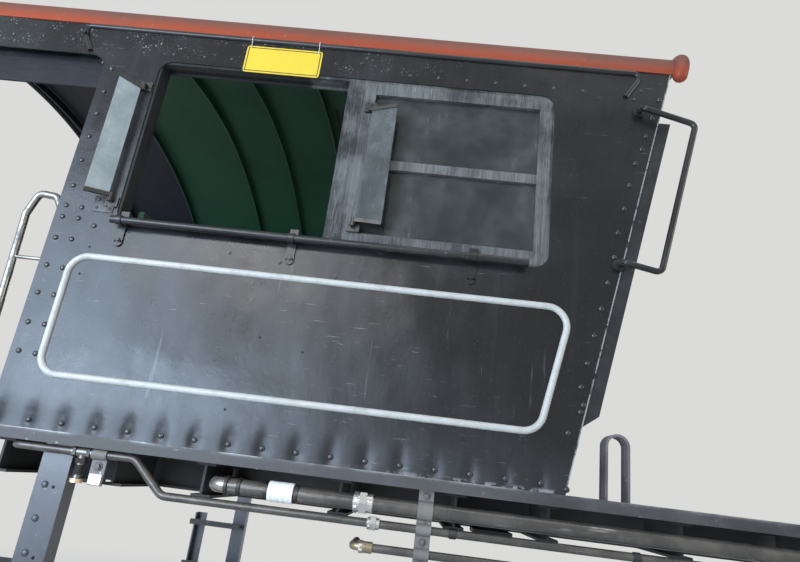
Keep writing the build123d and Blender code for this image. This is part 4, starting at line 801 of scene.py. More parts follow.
class Shaper:
    """Gathers small solids into one mesh object."""

    def __init__(self, name: str) -> None:
        """Starts an empty mesh of that name.

        Args:
            name: the object's name.
        """
        self.name = name
        self.mesh = bmesh.new()
        self.count = 0

    def turned(
        self, start: Point, way: Point, profile: Sequence[tuple[float, float]], sides: int = 20
    ) -> None:
        """Adds a solid turned on a lathe, with flat ends.

        Args:
            start: the foot of its axis.
            way: direction of its axis.
            profile: (distance along the axis, radius) pairs.
            sides: round it; six make a hexagon.
        """
        foot = Vector(start)
        spin = Vector((0.0, 0.0, 1.0)).rotation_difference(Vector(way)).to_matrix()
        loops = []
        for lift, width in profile:
            loops.append([
                self.mesh.verts.new(
                    foot + spin @ Vector((
                        width * math.cos(2.0 * math.pi * step / sides),
                        width * math.sin(2.0 * math.pi * step / sides),
                        lift,
                    ))
                )
                for step in range(sides)
            ])
        self.skin(loops)

    def skin(self, loops: list[list[bmesh.types.BMVert]], closed: bool = False) -> None:
        """Joins rounds of points by faces.

        Args:
            loops: the rounds in order, each of as many points.
            closed: the last round joins the first, and the ends get no cap.
        """
        pairs = list(zip(loops, loops[1:]))
        if closed:
            pairs.append((loops[-1], loops[0]))
        for lower, upper in pairs:
            for step in range(len(lower)):
                nxt = (step + 1) % len(lower)
                self.mesh.faces.new((lower[step], lower[nxt], upper[nxt], upper[step]))
        if not closed:
            self.mesh.faces.new(list(reversed(loops[0])))
            self.mesh.faces.new(loops[-1])
        self.count += 1

    def dome(self, centre: Point, normal: Point, radius: float, height: float, sides: int = 12) -> None:
        """Adds a snap-head rivet with its foot at centre, standing along normal."""
        rings = (
            (-0.0006, 1.0), (height * 0.22, 0.985), (height * 0.60, 0.86), (height * 0.92, 0.52),
            (height, 0.12),
        )
        self.turned(centre, normal, [(lift, radius * share) for lift, share in rings], sides)

    def rod(self, start: Point, end: Point, radius: float, sides: int = 16, bevel: float = 0.001) -> None:
        """Adds a round, or for six sides a hexagonal, bar between two points, with eased ends.

        Args:
            start: middle of one end.
            end: middle of the other end.
            radius: its radius.
            sides: sides of its section.
            bevel: width of the eased edges.
        """
        way = Vector(end) - Vector(start)
        length = way.length
        profile = [(0.0, radius - bevel), (bevel, radius), (length - bevel, radius), (length, radius - bevel)]
        self.turned(start, tuple(way), profile, sides)

    def bolt(self, centre: Point, normal: Point, radius: float, height: float) -> None:
        """Adds a washer with a hexagonal head on it.

        Args:
            centre: where it stands.
            normal: the way that it points.
            radius: its radius.
            height: its height.
        """
        base, way = Vector(centre), Vector(normal).normalized()
        self.rod(
            tuple(base - way * 0.0005), tuple(base + way * height * 0.3), radius * 1.45, 20, height * 0.08
        )
        self.rod(tuple(base + way * height * 0.2), tuple(base + way * height), radius, 6, height * 0.12)

    def block(self, low: Point, high: Point, bevel: float = 0.002) -> None:
        """Adds a box between two corners with eased edges.

        Args:
            low: lowest corner.
            high: highest corner.
            bevel: width of the eased edges.
        """
        size = Vector([abs(a - c) for a, c in zip(high, low)])
        centre = (Vector(high) + Vector(low)) / 2.0
        place = Matrix.Translation(centre) @ Matrix.Diagonal((*size, 1.0))
        made = bmesh.ops.create_cube(self.mesh, size=1.0, matrix=place)
        if bevel > 0.0:
            edges = list({edge for vert in made["verts"] for edge in vert.link_edges})
            bmesh.ops.bevel(self.mesh, geom=edges, offset=bevel, segments=2, profile=0.5, affect="EDGES")
        self.count += 1

    def tube(self, points: Sequence[Point], radius: float, sides: int = 12, closed: bool = False) -> None:
        """Adds a round tube through points, with its ends capped.

        Args:
            points: the tube's centre line.
            radius: of the tube.
            sides: round it.
            closed: joins the last point to the first.
        """
        line = [Vector(point) for point in points]
        loops = []
        side = None
        for index, place in enumerate(line):
            before = line[index - 1] if index or closed else place
            after = line[(index + 1) % len(line)] if index < len(line) - 1 or closed else place
            way = (after - before).normalized()
            if side is None:
                side = way.orthogonal().normalized()
            side = (side - way * side.dot(way)).normalized()
            other = way.cross(side)
            loops.append([
                self.mesh.verts.new(
                    place + side * radius * math.cos(2.0 * math.pi * step / sides)
                    + other * radius * math.sin(2.0 * math.pi * step / sides)
                )
                for step in range(sides)
            ])
        self.skin(loops, closed)

    def finish(
        self, material: bpy.types.Material, body: str, soften: float = 35.0
    ) -> bpy.types.Object:
        """Turns the gathered solids into an object.

        Args:
            material: its finish.
            body: the CAD body that it rides on.
            soften: faces that meet below this angle, in degrees, shade as one.

        Returns:
            The object.
        """
        bmesh.ops.recalc_face_normals(self.mesh, faces=self.mesh.faces)
        data = bpy.data.meshes.new(self.name)
        self.mesh.to_mesh(data)
        self.mesh.free()
        data.shade_smooth()
        data.set_sharp_from_angle(angle=math.radians(soften))
        made = placed(self.name, data)
        made.data.materials.append(material)
        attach(made, body)
        log.info("%s: %d pieces, %d faces", self.name, self.count, len(data.polygons))
        return made


def dress(nodes: Iterable[str], material: bpy.types.Material) -> None:
    """Gives CAD nodes a finish.

    Args:
        nodes: node names.
        material: the finish.
    """
    for name in nodes:
        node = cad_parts[name]
        if not node.material_slots:
            node.data.materials.append(material)
        for held in node.material_slots:
            held.material = material
        log.info("%s dressed in %s", name, material.name)


@dataclass
class SideSheets:
    """The riveted side sheets with their corner strips, beads and rails."""

    finishes: Finishes
    rivet_r: float = 0.0115
    rivet_h: float = 0.0070
    small_r: float = 0.0088
    small_h: float = 0.0052
    hole_r: float = 0.0050
    angle_y: float = 1.511
    post_x: float = -1.037
    rear_upper: tuple[float, ...] = (1.841, 1.710, 1.591, 1.469, 1.347, 1.220)
    rear_outer: tuple[float, ...] = (1.123, 1.069, 0.970, 0.845, 0.723, 0.596, 0.476)
    rear_inner: tuple[float, ...] = (1.119, 1.067, 0.969, 0.839, 0.719, 0.593, 0.472)
    front_upper: tuple[tuple[float, float], ...] = (
        (1.480, 1.939), (1.446, 1.838), (1.418, 1.741), (1.400, 1.672), (1.371, 1.598), (1.344, 1.487),
        (1.323, 1.373), (1.297, 1.258),
    )
    front_lower: tuple[float, ...] = (1.145, 1.030, 0.915, 0.800, 0.685, 0.590)
    front_foot: tuple[tuple[float, float], ...] = (
        (1.169, 0.522), (1.159, 0.494), (1.114, 0.410), (1.115, 0.207)
    )
    letters: tuple[tuple[float, float], ...] = (
        (-1.039, 2.020), (-0.913, 1.988), (-0.794, 1.949), (-0.644, 1.951), (-0.512, 1.952), (-1.121, 1.868),
        (-1.069, 1.834), (-0.990, 2.033), (0.052, 1.954), (0.104, 1.993), (0.337, 1.950), (0.470, 1.951),
        (0.603, 1.950), (0.736, 1.952), (0.869, 1.950), (1.002, 1.951), (1.135, 1.950), (1.366, 1.931),
        (1.399, 1.979),
        (-1.30, 1.985), (-1.45, 1.990), (-1.60, 1.985), (-1.75, 1.990), (-1.90, 1.985), (-2.05, 1.990),
        (-2.20, 1.985),
    )
    holes: tuple[tuple[float, float], ...] = (
        (-0.917, 0.944), (-0.924, 0.822), (1.031, 0.348), (-1.025, 1.955), (-0.20, 0.345), (-0.12, 0.640),
        (0.06, 0.600),
    )
    screws: tuple[tuple[float, float], ...] = ((-0.10, 0.968), (0.14, 0.930), (-0.32, 0.985), (0.40, 0.905))
    row_z: float = 0.218
    rear_x: tuple[float, float, float] = (-1.071, -1.074, -1.003)
    straps: tuple[float, ...] = (-0.800, -0.060, 0.700)
    rail: tuple[float, float] = (1.567, 1.064)

    def rivets(self) -> list[tuple[float, float]]:
        """Places of the sheet's rivets on one side, as (x, z)."""
        rows = (self.rear_upper, self.rear_outer, self.rear_inner)
        found = [(x, z) for x, row in zip(self.rear_x, rows) for z in row]
        found.append((-0.925, 1.041))
        found += [(ROW_X + ROW_PITCH * step, self.row_z) for step in range(-1, 16)]
        found += list(self.front_upper)
        found += [(front_x(z) - 0.043, z) for z in self.front_lower]
        found += list(self.front_foot)
        return found

    def build(self) -> None:
        """Dresses the nodes and sets the rivets."""
        done = self.finishes
        dress(("side_sheet_right", "side_sheet_left"), done.enamel)
        dress(("rear_posts", "corner_strips"), done.front)
        dress(("side_sills",), done.sill)
        dress(("panel_beads",), done.bead)
        dress(("drip_rails", "front_grab_irons", "sill_rails"), done.trim)
        dress(("rear_grab_irons",), done.rail)
        for side in Side:
            self.heads(side)
            self.bolts(side)

    def heads(self, side: Side) -> None:
        """Sets rivet heads outside, their tails inside, and the old screw holes as discs of painted shade.

        Args:
            side: the cab's side.
        """
        out, way = side.value * HALF_W, (0.0, side.value, 0.0)
        heads = Shaper(f"sheet_rivets_{side.word}")
        tails = Shaper(f"rivet_tails_{side.word}")
        inward = (0.0, -side.value, 0.0)
        for x, z in self.rivets():
            heads.dome((x, out, z), way, self.rivet_r, self.rivet_h)
            if z < 0.230 and x < 1.10 or x < self.post_x:
                tails.dome((x, side.value * self.angle_y, z), inward, self.rivet_r, self.rivet_h * 0.7)
            elif x < front_x(z) - 0.06:
                tails.dome((x, side.value * INNER_Y, z), inward, self.rivet_r, self.rivet_h * 0.7)
        for x, z in self.letters:
            heads.dome((x, out, z), way, self.small_r, self.small_h)
        heads.finish(self.finishes.rivet, "cab")
        tails.finish(self.finishes.green, "cab")
        # painted shade: the old screw holes are flat dark discs
        holes = Shaper(f"sheet_holes_{side.word}")
        for x, z in self.holes:
            holes.dome((x, out, z), way, self.hole_r, 0.0007)
        holes.finish(self.finishes.hole, "cab")

    def bolts(self, side: Side) -> None:
        """Adds strap feet, the drip rail's nut, the grab irons' nuts and the plate by the window.

        Args:
            side: the cab's side.
        """
        out, way = side.value * HALF_W, (0.0, side.value, 0.0)
        straps = Shaper(f"rail_straps_{side.word}")
        for x in self.straps:
            straps.turned((x, out, DECK_Z + 0.790), way, ((0.0, 0.018), (0.007, 0.018), (0.008, 0.017)), 28)
            straps.bolt((x, out + side.value * 0.008, DECK_Z + 0.800), way, 0.0085, 0.008)
            rail_y, rail_z = side.value * self.rail[0], self.rail[1]
            straps.rod((x - 0.014, rail_y, rail_z), (x + 0.014, rail_y, rail_z), 0.0205, 20, 0.002)
        straps.finish(self.finishes.trim, "cab")
        plate = Shaper(f"jamb_plate_{side.word}")
        plate.block((-0.954, out, 1.107), (-0.862, out + side.value * 0.004, 1.182), 0.0015)
        for x, z in ((-0.936, 1.125), (-0.936, 1.164), (-0.878, 1.125)):
            plate.dome((x, out + side.value * 0.004, z), way, 0.007, 0.003)
        plate.bolt((-1.249, out + side.value * 0.010, 2.020), way, 0.012, 0.012)
        for x, z in ((1.386, 1.859), (1.301, 1.111)):
            plate.bolt((x, side.value * 1.570, z), (0.0, side.value, 0.0), 0.010, 0.009)
        plate.finish(self.finishes.trim, "cab")
        screws = Shaper(f"sheet_screws_{side.word}")
        for x, z in self.screws:
            screws.bolt((x, out, z), way, 0.0075, 0.006)
        screws.finish(self.finishes.dark_iron, "cab")


@dataclass
class Roof:
    """The arched roof with its hatch, ribs and rivets."""

    finishes: Finishes
    crown_r: float = CROWN_R
    crown_z: float = CROWN_Z
    ribs: tuple[float, ...] = (-2.346, -1.746, -1.108, -0.716, -0.296, 0.404, 0.904, 1.384)
    pitch: float = 0.142
    hatch: tuple[float, float, float] = (-0.98, 0.46, 0.50)

    def arc(self, y: float, lift: float = 0.0) -> tuple[float, Point]:
        """Height of the crown at y, lifted off the sheet, and the way it faces there."""
        turn = math.asin(y / self.crown_r)
        return self.crown_z + (self.crown_r + lift) * math.cos(turn), (0.0, math.sin(turn), math.cos(turn))

    def build(self) -> None:
        """Dresses the nodes, rivets the ribs and adds the hatch's grips."""
        done = self.finishes
        dress(("roof_sheet", "roof_hatch", "hatch_runners"), done.roof)
        dress(("roof_ribs_front", "roof_ribs_rear"), done.green)
        dress(("eave_boards",), done.eave)
        low, high, half = self.hatch
        heads = Shaper("roof_rivets")
        for x in self.ribs:
            for step in range(-9, 10):
                y = step * self.pitch
                if low < x < high and abs(y) < half:
                    continue
                z, way = self.arc(y)
                heads.dome((x, y, z), way, 0.0105, 0.0055, 10)
        heads.finish(done.roof, "cab")
        grips = Shaper("hatch_grips")
        for y in (-0.31, 0.31):
            z, _ = self.arc(y, 0.0273)
            line = [
                (0.0, 0.0), (0.004, 0.008), (0.020, 0.0105), (0.120, 0.0105), (0.136, 0.008), (0.140, 0.0)
            ]
            grips.tube([(0.20 + along, y, z + up - 0.003) for along, up in line], 0.0035, 10)
        grips.finish(done.dark_iron, "hatch")


@dataclass
class Windows:
    """Window frames, sashes, pulls and wind wings."""

    finishes: Finishes
    bracket_face: float = 1.531

    def build(self) -> None:
        """Dresses the nodes and adds the pulls and the brackets' screws."""
        done = self.finishes
        dress(("window_frames",), done.window)
        dress(("fixed_sashes", "sliding_sash_right", "sliding_sash_left"), done.sash)
        dress(("fixed_sash_glass", "sliding_glass_right", "sliding_glass_left"), done.glass)
        for side in Side:
            for place, glass in (("rear", done.wing_rear_glass), ("fore", done.wing_fore_glass)):
                dress((f"wing_clips_{place}_{side.word}",), done.dark_iron)
                dress((f"wing_pane_{place}_{side.word}",), glass)
            self.pulls(side)
            self.bracket_screws(side)
        dress(("wing_brackets",), done.dark_iron)

    def pulls(self, side: Side) -> None:
        """Adds a bow pull, a catch and screws to the sliding sash's inner face.

        Args:
            side: the cab's side.
        """
        low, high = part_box(f"sliding_sash_{side.word}")
        inner = high.y if side is Side.RIGHT else low.y
        way = -side.value
        x, z = low.x + 0.028, (low.z + high.z) / 2.0
        pulls = Shaper(f"sash_pull_{side.word}")
        pulls.block((x - 0.012, inner, z - 0.075), (x + 0.012, inner + way * 0.0025, z + 0.075), 0.001)
        for lift in (-0.062, 0.062):
            pulls.dome((x, inner + way * 0.0025, z + lift), (0.0, way, 0.0), 0.005, 0.002)
        line = [
            (0.0, -0.045), (0.003, -0.043), (0.0038, -0.030), (0.0038, 0.030), (0.003, 0.043), (0.0, 0.045)
        ]
        pulls.tube([(x, inner + way * (0.0025 + out * 0.9), z + up) for out, up in line], 0.0022, 8)
        pulls.finish(self.finishes.brass, f"sash_{side.word}")

    def bracket_screws(self, side: Side) -> None:
        """Adds the screws of the wing brackets.

        Args:
            side: the cab's side.
        """
        screws = Shaper(f"bracket_collars_{side.word}")
        way = (0.0, side.value, 0.0)
        for x in (-0.878, 0.182):
            for z in (1.1505, 1.7635):
                for shift in (-0.019, 0.019):
                    for lift in (-0.014, 0.014):
                        screws.dome(
                            (x + shift, side.value * self.bracket_face, z + lift), way, 0.0048, 0.0024
                        )
        screws.finish(self.finishes.dark_iron, "cab")


@dataclass
class FrontWall:
    """Front sheet and its two doors, on the slanted plane."""

    finishes: Finishes
    opening_half: float = 1.0
    straight: float = 0.700
    flange: float = 0.040
    roof_r: float = CROWN_R
    roof_z: float = CROWN_Z
    rivet_r: float = 0.0105
    rivet_h: float = 0.0065
    arch_steps: int = 27

    def place(self, y: float, up: float, out: float = 0.0) -> Point:
        """Point at y, a distance up the slant and a distance ahead of the front plane."""
        return (
            FRONT_X + up * math.sin(SLANT) + out * math.cos(SLANT), y,
            DECK_Z + up * math.cos(SLANT) - out * math.sin(SLANT),
        )

    def build(self) -> None:
        """Dresses the nodes, rivets the sheet and fits the doors."""
        done = self.finishes
        dress(("front_sheet",), done.front_wall)
        dress(("front_door_right", "front_door_left"), done.door)
        dress(("front_door_glass_right", "front_door_glass_left"), done.glass)
        way = (math.cos(SLANT), 0.0, -math.sin(SLANT))
        heads = Shaper("front_rivets")
        radius = self.opening_half + self.flange
        spots = []
        for step in range(1, self.arch_steps):
            turn = math.pi * step / self.arch_steps
            spots.append((radius * math.cos(turn), self.straight + radius * math.sin(turn)))
        spots += [(y, 0.06 + step * 0.128) for step in range(6) for y in (-radius, radius)]
        for step in range(-11, 12):
            y = step * 0.122
            height = self.roof_z + math.sqrt(self.roof_r ** 2 - y * y) - 0.050
            spots.append((y, (height - DECK_Z) / math.cos(SLANT)))
        for y, up in spots:
            heads.dome(self.place(y, up), way, self.rivet_r, self.rivet_h)
        heads.finish(done.rivet, "cab")
        for side in Side:
            self.furnish(side)

    def furnish(self, side: Side) -> None:
        """Adds a door's knob, lock plate, inner handle and hinge screws.

        Args:
            side: the cab's side.
        """
        sign = side.value
        ahead = (math.cos(SLANT), 0.0, -math.sin(SLANT))
        behind = (-ahead[0], 0.0, -ahead[2])
        furniture = Shaper(f"door_furniture_{side.word}")
        y, up, face, back = sign * 1.108, 0.86, 0.002, -0.026
        furniture.turned(self.place(y, up, face), ahead, ((0.0, 0.026), (0.003, 0.026), (0.004, 0.024)), 28)
        knob = (
            (0.0, 0.009), (0.020, 0.009), (0.024, 0.017), (0.031, 0.023), (0.040, 0.023), (0.047, 0.016),
            (0.050, 0.006),
        )
        furniture.turned(self.place(y, up, face + 0.004), ahead, knob, 24)
        furniture.turned(
            self.place(y, up - 0.075, face), ahead, ((0.0, 0.013), (0.002, 0.013), (0.003, 0.012)), 20
        )
        furniture.turned(self.place(y, up, back), behind, ((0.0, 0.022), (0.003, 0.022), (0.004, 0.020)), 24)
        line = ((0.0, 0.0), (0.0, 0.030), (0.014, 0.037), (0.070, 0.037), (0.084, 0.034))
        furniture.tube([self.place(y + sign * along, up, back - out) for along, out in line], 0.0062, 12)
        furniture.finish(self.finishes.brass, f"door_{side.word}")
        screws = Shaper(f"door_screws_{side.word}")
        for hinge in (0.510, 1.420):
            for lift in (-0.018, 0.018):
                for inset in (0.022, 0.044):
                    screws.dome(
                        self.place(sign * (1.455 - inset), hinge + lift, 0.0255), ahead, 0.0042, 0.002
                    )
        screws.finish(self.finishes.rivet, f"door_{side.word}")


@dataclass
class Underside:
    """Deck, running boards, steps and pipes; the pipes hang under the right sill."""

    finishes: Finishes
    pipe_y: float = -1.507
    large_z: float = 0.072
    middle_z: float = 0.006
    low_z: float = -0.076
    loop_z: float = 0.124
    drain_x: float = -0.710
    planks: int = 18

    def build(self) -> None:
        """Dresses the nodes and adds their fittings."""
        done = self.finishes
        dress(("deck_stringers", "deck_beams", "deck_outriggers"), done.frame)
        dress(("running_boards", "step_treads"), done.board)
        dress(("step_irons",), done.iron)
        dress(("deck_planks",), done.planks)
        dress(("step_hangers",), done.hanger)
        dress(("pipe_hangers",), done.clamp)
        dress(("pipe_upper",), done.pipe_large)
        dress(("pipe_middle",), done.pipe_small)
        dress(("pipe_lower",), done.pipe_low)
        dress(("drain_cap",), done.brass)
        self.pipe_fittings()
        self.clamp_bolts()
        self.nails()
        for side in Side:
            self.step_rivets(side)

    def pipe_fittings(self) -> None:
        """Adds the taped joint, union nuts, collars and the drain's hose barb."""
        done = self.finishes
        along = (1.0, 0.0, 0.0)
        tape = Shaper("taped_joint")
        wraps = [(0.0, 0.0354), (0.001, 0.0366)]
        for step in range(1, 12):
            wraps.append((step * 0.0078 - 0.0012, 0.0366 + 0.0006 * (step % 3)))
            wraps.append((step * 0.0078, 0.0361 + 0.0005 * (step % 2)))
        wraps += [(0.093, 0.0366), (0.094, 0.0354)]
        tape.turned((0.022, self.pipe_y, self.large_z), along, wraps, 36)
        tape.finish(done.tape, "cab", 25.0)
        iron = Shaper("pipe_collars")
        # columns: x and height, radius of the pipe and of the collar, where the collar is risen, starts to
        # fall and ends, sides
        for x, z, core, radius, rise, fall, end, sides in (
            (0.003, self.large_z, 0.0285, 0.0325, 0.001, 0.015, 0.017, 30),
            (0.118, self.large_z, 0.0285, 0.0325, 0.001, 0.015, 0.017, 30),
            (-0.146, self.large_z, 0.0285, 0.0355, 0.003, 0.013, 0.017, 30),
            (-0.098, self.large_z, 0.0285, 0.0330, 0.003, 0.013, 0.017, 30),
            (0.70, self.middle_z, 0.0152, 0.0185, 0.002, 0.026, 0.028, 24),
            (1.36, self.middle_z, 0.0152, 0.0185, 0.002, 0.026, 0.028, 24),
            (1.72, self.middle_z, 0.0152, 0.0185, 0.002, 0.026, 0.028, 24),
        ):
            profile = ((0.0, core), (rise, radius), (fall, radius), (end, core))
            iron.turned((x, self.pipe_y, z), along, profile, sides)
        iron.finish(done.dark_iron, "cab", 25.0)
        nuts = Shaper("pipe_nuts")
        for x, z, radius, width in (
            (0.350, self.large_z, 0.0375, 0.014), (0.408, self.middle_z, 0.0225, 0.010),
            (0.388, self.low_z, 0.0225, 0.016),
        ):
            nuts.rod((x - width / 2, self.pipe_y, z), (x + width / 2, self.pipe_y, z), radius, 6, 0.002)
        nuts.finish(done.zinc, "cab", 20.0)
        barb = Shaper("drain_barb")
        down = (0.0, 0.0, -1.0)
        for x in (-0.744, -0.690):
            barb.rod((x, self.pipe_y, self.loop_z), (x + 0.014, self.pipe_y, self.loop_z), 0.0245, 6, 0.0015)
        neck, foot = self.loop_z - 0.022, self.loop_z - 0.040
        barb.rod((self.drain_x, self.pipe_y, neck), (self.drain_x, self.pipe_y, foot), 0.0215, 6, 0.0015)
        ribs = [(0.0, 0.0152)]
        for step in range(5):
            ribs += [(0.004 + step * 0.007, 0.0180), (0.008 + step * 0.007, 0.0158)]
        barb.turned((self.drain_x, self.pipe_y, self.loop_z - 0.046), down, ribs, 24)
        barb.finish(done.dark_iron, "cab", 20.0)

    def clamp_bolts(self) -> None:
        """Adds bolts to the pipe clamps and the pale patch below the rear one."""
        done = self.finishes
        out = (0.0, -1.0, 0.0)
        bolts = Shaper("clamp_bolts")
        for x in (0.607, 2.018):
            for z, radius in ((0.123, 0.0095), (-0.035, 0.0095), (-0.106, 0.0060)):
                bolts.bolt((x, self.pipe_y, z), out, radius, 0.010)
            bolts.bolt((x, self.pipe_y, 0.0325), out, 0.0042, 0.007)
        bolts.bolt((-0.640, self.pipe_y, 0.080), out, 0.0115, 0.012)
        bolts.finish(done.iron, "cab", 20.0)
        patch = Shaper("clamp_tab")
        patch.block((-0.664, -1.5115, 0.014), (-0.616, -1.5070, 0.052), 0.001)
        patch.dome((-0.640, -1.5115, 0.033), out, 0.006, 0.003)
        patch.finish(done.zinc, "cab", 20.0)

    def nails(self) -> None:
        """Drives two nails through each plank into the beams."""
        low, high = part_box("deck_planks")
        heads = Shaper("plank_nails")
        width = (high.y - low.y) / self.planks
        for x in (-1.060, -0.600, -0.250):
            for plank in range(self.planks):
                for share in (0.25, 0.75):
                    heads.dome(
                        (x, low.y + width * (plank + share), DECK_Z), (0.0, 0.0, 1.0), 0.0060, 0.0012, 8
                    )
        heads.finish(self.finishes.dark_iron, "cab")

    def step_rivets(self, side: Side) -> None:
        """Sets the step hangers' rivets and two holes in them.

        Args:
            side: the cab's side.
        """
        way = (0.0, side.value, 0.0)
        face = side.value * 1.475
        heads = Shaper(f"hanger_rivets_{side.word}")
        for x, z in (
            (-0.841, -0.008), (-0.841, -0.129), (-0.841, -0.249), (-0.841, -0.336), (-0.841, -0.490),
            (-0.841, -0.641),
            (-0.841, -0.795), (-0.841, -0.946), (-1.146, -0.300), (-1.146, -0.336), (-1.146, -0.641),
            (-1.146, -0.946),
        ):
            heads.dome((x, face, z), way, 0.0135, 0.0085, 14)
        heads.finish(self.finishes.hanger, "cab")
        # painted shade: the hangers' two holes are flat dark discs
        holes = Shaper(f"hanger_holes_{side.word}")
        for x, z in ((-0.806, -0.014), (-0.806, -0.262)):
            holes.dome((x, face, z), way, 0.0065, 0.0007)
        holes.finish(self.finishes.hole, "cab")


class Rest(Enum):
    """What a pad rests on, as the axis along which it stands off its board."""

    ON_LID = 2
    ON_BACK = 0


@dataclass
class Pad:
    """One stuffed pad: a cover cut smaller than its place, which swells in a cloth simulation."""

    name: str
    node: str
    body: str
    rest: Rest
    side: Side
    inset: float = 0.009
    corner: float = 0.030
    cap: float = 0.012
    cell: float = 0.0095
    channels: tuple[float, ...] = (-0.25, 0.0, 0.25)
    channel_w: float = 0.0085
    channel_depth: float = 0.0065
    pressure: float = 4.0
    frames: int = 20
    seams: tuple[float, float] = (0.16, 0.80)
    welt_r: float = 0.0036
    welt_steps: int = 96

    def box(self) -> tuple[Vector, Vector]:
        """The place of the pad, cut down to its own side of a node that holds both."""
        low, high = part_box(self.node)
        if low.y < 0.0 < high.y:
            half = high.y
            inner = self.inner_y(half)
            low, high = (
                (Vector((low.x, -half, low.z)), Vector((high.x, -inner, high.z)))
                if self.side is Side.RIGHT
                else (Vector((low.x, inner, low.z)), Vector((high.x, half, high.z)))
            )
        return low, high

    def inner_y(self, half: float) -> float:
        """Least distance from the centre line of the node's points, at most half."""
        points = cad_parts[self.node].data.vertices
        return min((abs(point.co.y) for point in points), default=half)

    def cover(self, low: Vector, high: Vector) -> bpy.types.Object:
        """Makes the cut cover as a closed mesh with rounded corners.

        Args:
            low: its lowest corner.
            high: its highest corner.

        Returns:
            The cover.
        """
        made = bmesh.new()
        inset = Vector((self.inset, self.inset, self.inset))
        axis = self.rest.value
        start, end = low + inset, high - inset
        start[axis] = low[axis]
        size, centre = end - start, (start + end) / 2.0
        bmesh.ops.create_cube(
            made, size=1.0, matrix=Matrix.Translation(centre) @ Matrix.Diagonal((*size, 1.0))
        )
        along = [
            edge for edge in made.edges if abs((edge.verts[0].co - edge.verts[1].co).normalized()[axis]) > 0.9
        ]
        bmesh.ops.bevel(made, geom=along, offset=self.corner, segments=5, profile=0.5, affect="EDGES")
        data = bpy.data.meshes.new(self.name)
        made.to_mesh(data)
        made.free()
        return placed(self.name, data)

    def settle(self, pad: bpy.types.Object, modifier: bpy.types.Modifier) -> None:
        """Replaces the object's mesh by what its modifier makes of it, and takes the modifier off.

        Args:
            pad: the object.
            modifier: a modifier on it.
        """
        graph = bpy.context.evaluated_depsgraph_get()
        graph.update()
        made = bpy.data.meshes.new_from_object(pad.evaluated_get(graph))
        pad.modifiers.remove(modifier)
        old = pad.data
        pad.data = made
        bpy.data.meshes.remove(old)

    def swell(self, pad: bpy.types.Object) -> None:
        """Remeshes the cover and lets air pressure round it, with its foot pinned to the board.

        Args:
            pad: the cover.
        """
        remesh = pad.modifiers.new("cells", "REMESH")
        remesh.mode = "VOXEL"
        remesh.voxel_size = self.cell
        self.settle(pad, remesh)
        axis = self.rest.value
        foot = min(vertex.co[axis] for vertex in pad.data.vertices)
        group = pad.vertex_groups.new(name="foot")
        group.add([v.index for v in pad.data.vertices if v.co[axis] < foot + self.cell * 0.6], 1.0, "REPLACE")
        before = [vertex.co.copy() for vertex in pad.data.vertices]
        cloth = pad.modifiers.new("air", "CLOTH")
        cloth.settings.use_pressure = True
        cloth.settings.uniform_pressure_force = self.pressure
        cloth.settings.effector_weights.gravity = 0.0
        cloth.settings.vertex_group_mass = "foot"
        cloth.settings.quality = 4
        scene = bpy.context.scene
        for step in range(1, self.frames + 1):
            scene.frame_set(step)
        self.settle(pad, cloth)
        scene.frame_set(1)
        for vertex, start in zip(pad.data.vertices, before):
            move = vertex.co - start
            if move.length > self.cap:
                vertex.co = start + move.normalized() * self.cap

    def stitch(self, pad: bpy.types.Object, low: Vector, high: Vector) -> None:
        """Presses the sewn channels into the face.

        Args:
            pad: the swollen cover.
            low: its lowest corner.
            high: its highest corner.
        """
        axis = self.rest.value
        across = 0 if axis == 2 else 1
        centre, size = (low + high) / 2.0, high - low
        top = max(vertex.co[axis] for vertex in pad.data.vertices)
        for vertex in pad.data.vertices:
            depth = (vertex.co[axis] - low[axis]) / max(1e-6, top - low[axis])
            if depth < 0.35:
                continue
            share = (vertex.co[across] - centre[across]) / size[across]
            groove = sum(
                math.exp(-(((share - place) * size[across]) / self.channel_w) ** 2) for place in self.channels
            )
            vertex.co[axis] -= self.channel_depth * groove * min(1.0, (depth - 0.35) / 0.3)
            vertex.co[axis] = min(vertex.co[axis], high[axis] + 0.002)
        pad.data.update()

    def build(self, hide: bpy.types.Material) -> None:
        """Makes the pad with its piping.

        Args:
            hide: the finish of pad and piping.
        """
        low, high = self.box()
        pad = self.cover(low, high)
        self.swell(pad)
        self.stitch(pad, low, high)
        smooth = pad.modifiers.new("smooth", "SUBSURF")
        smooth.levels = smooth.render_levels = 1
        self.settle(pad, smooth)
        pad.data.shade_smooth()
        pad.data.materials.clear()
        pad.data.materials.append(hide)
        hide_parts(self.node)
        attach(pad, self.body)
        self.piping(pad, low, high, hide)
        log.info("%s: %d faces", self.name, len(pad.data.polygons))

    def piping(self, pad: bpy.types.Object, low: Vector, high: Vector, hide: bpy.types.Material) -> None:
        """Lays welts round the pad's two seams, snapped to its swollen sides.

        Args:
            pad: the swollen cover.
            low: its lowest corner.
            high: its highest corner.
            hide: the finish.
        """
        axis = self.rest.value
        flat = [index for index in range(3) if index != axis]
        centre, size = (low + high) / 2.0, high - low
        tree = BVHTree.FromObject(pad, bpy.context.evaluated_depsgraph_get())
        welts = Shaper(f"{self.name}_welts")
        for share in self.seams:
            line = []
            for step in range(self.welt_steps):
                turn = 2.0 * math.pi * step / self.welt_steps
                way = [math.copysign(abs(part) ** 0.32, part) for part in (math.cos(turn), math.sin(turn))]
                point = Vector((0.0, 0.0, 0.0))
                point[axis] = low[axis] + size[axis] * share
                for index, part in zip(flat, way):
                    point[index] = centre[index] + part * size[index] / 2.0
                near, normal, _, _ = tree.find_nearest(point)
                place = near + normal * 0.0008
                place[axis] = point[axis]
                line.append(tuple(place))
            welts.tube(line, self.welt_r, 8, closed=True)
        piece = welts.finish(hide, self.body, 60.0)
        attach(piece, self.body)


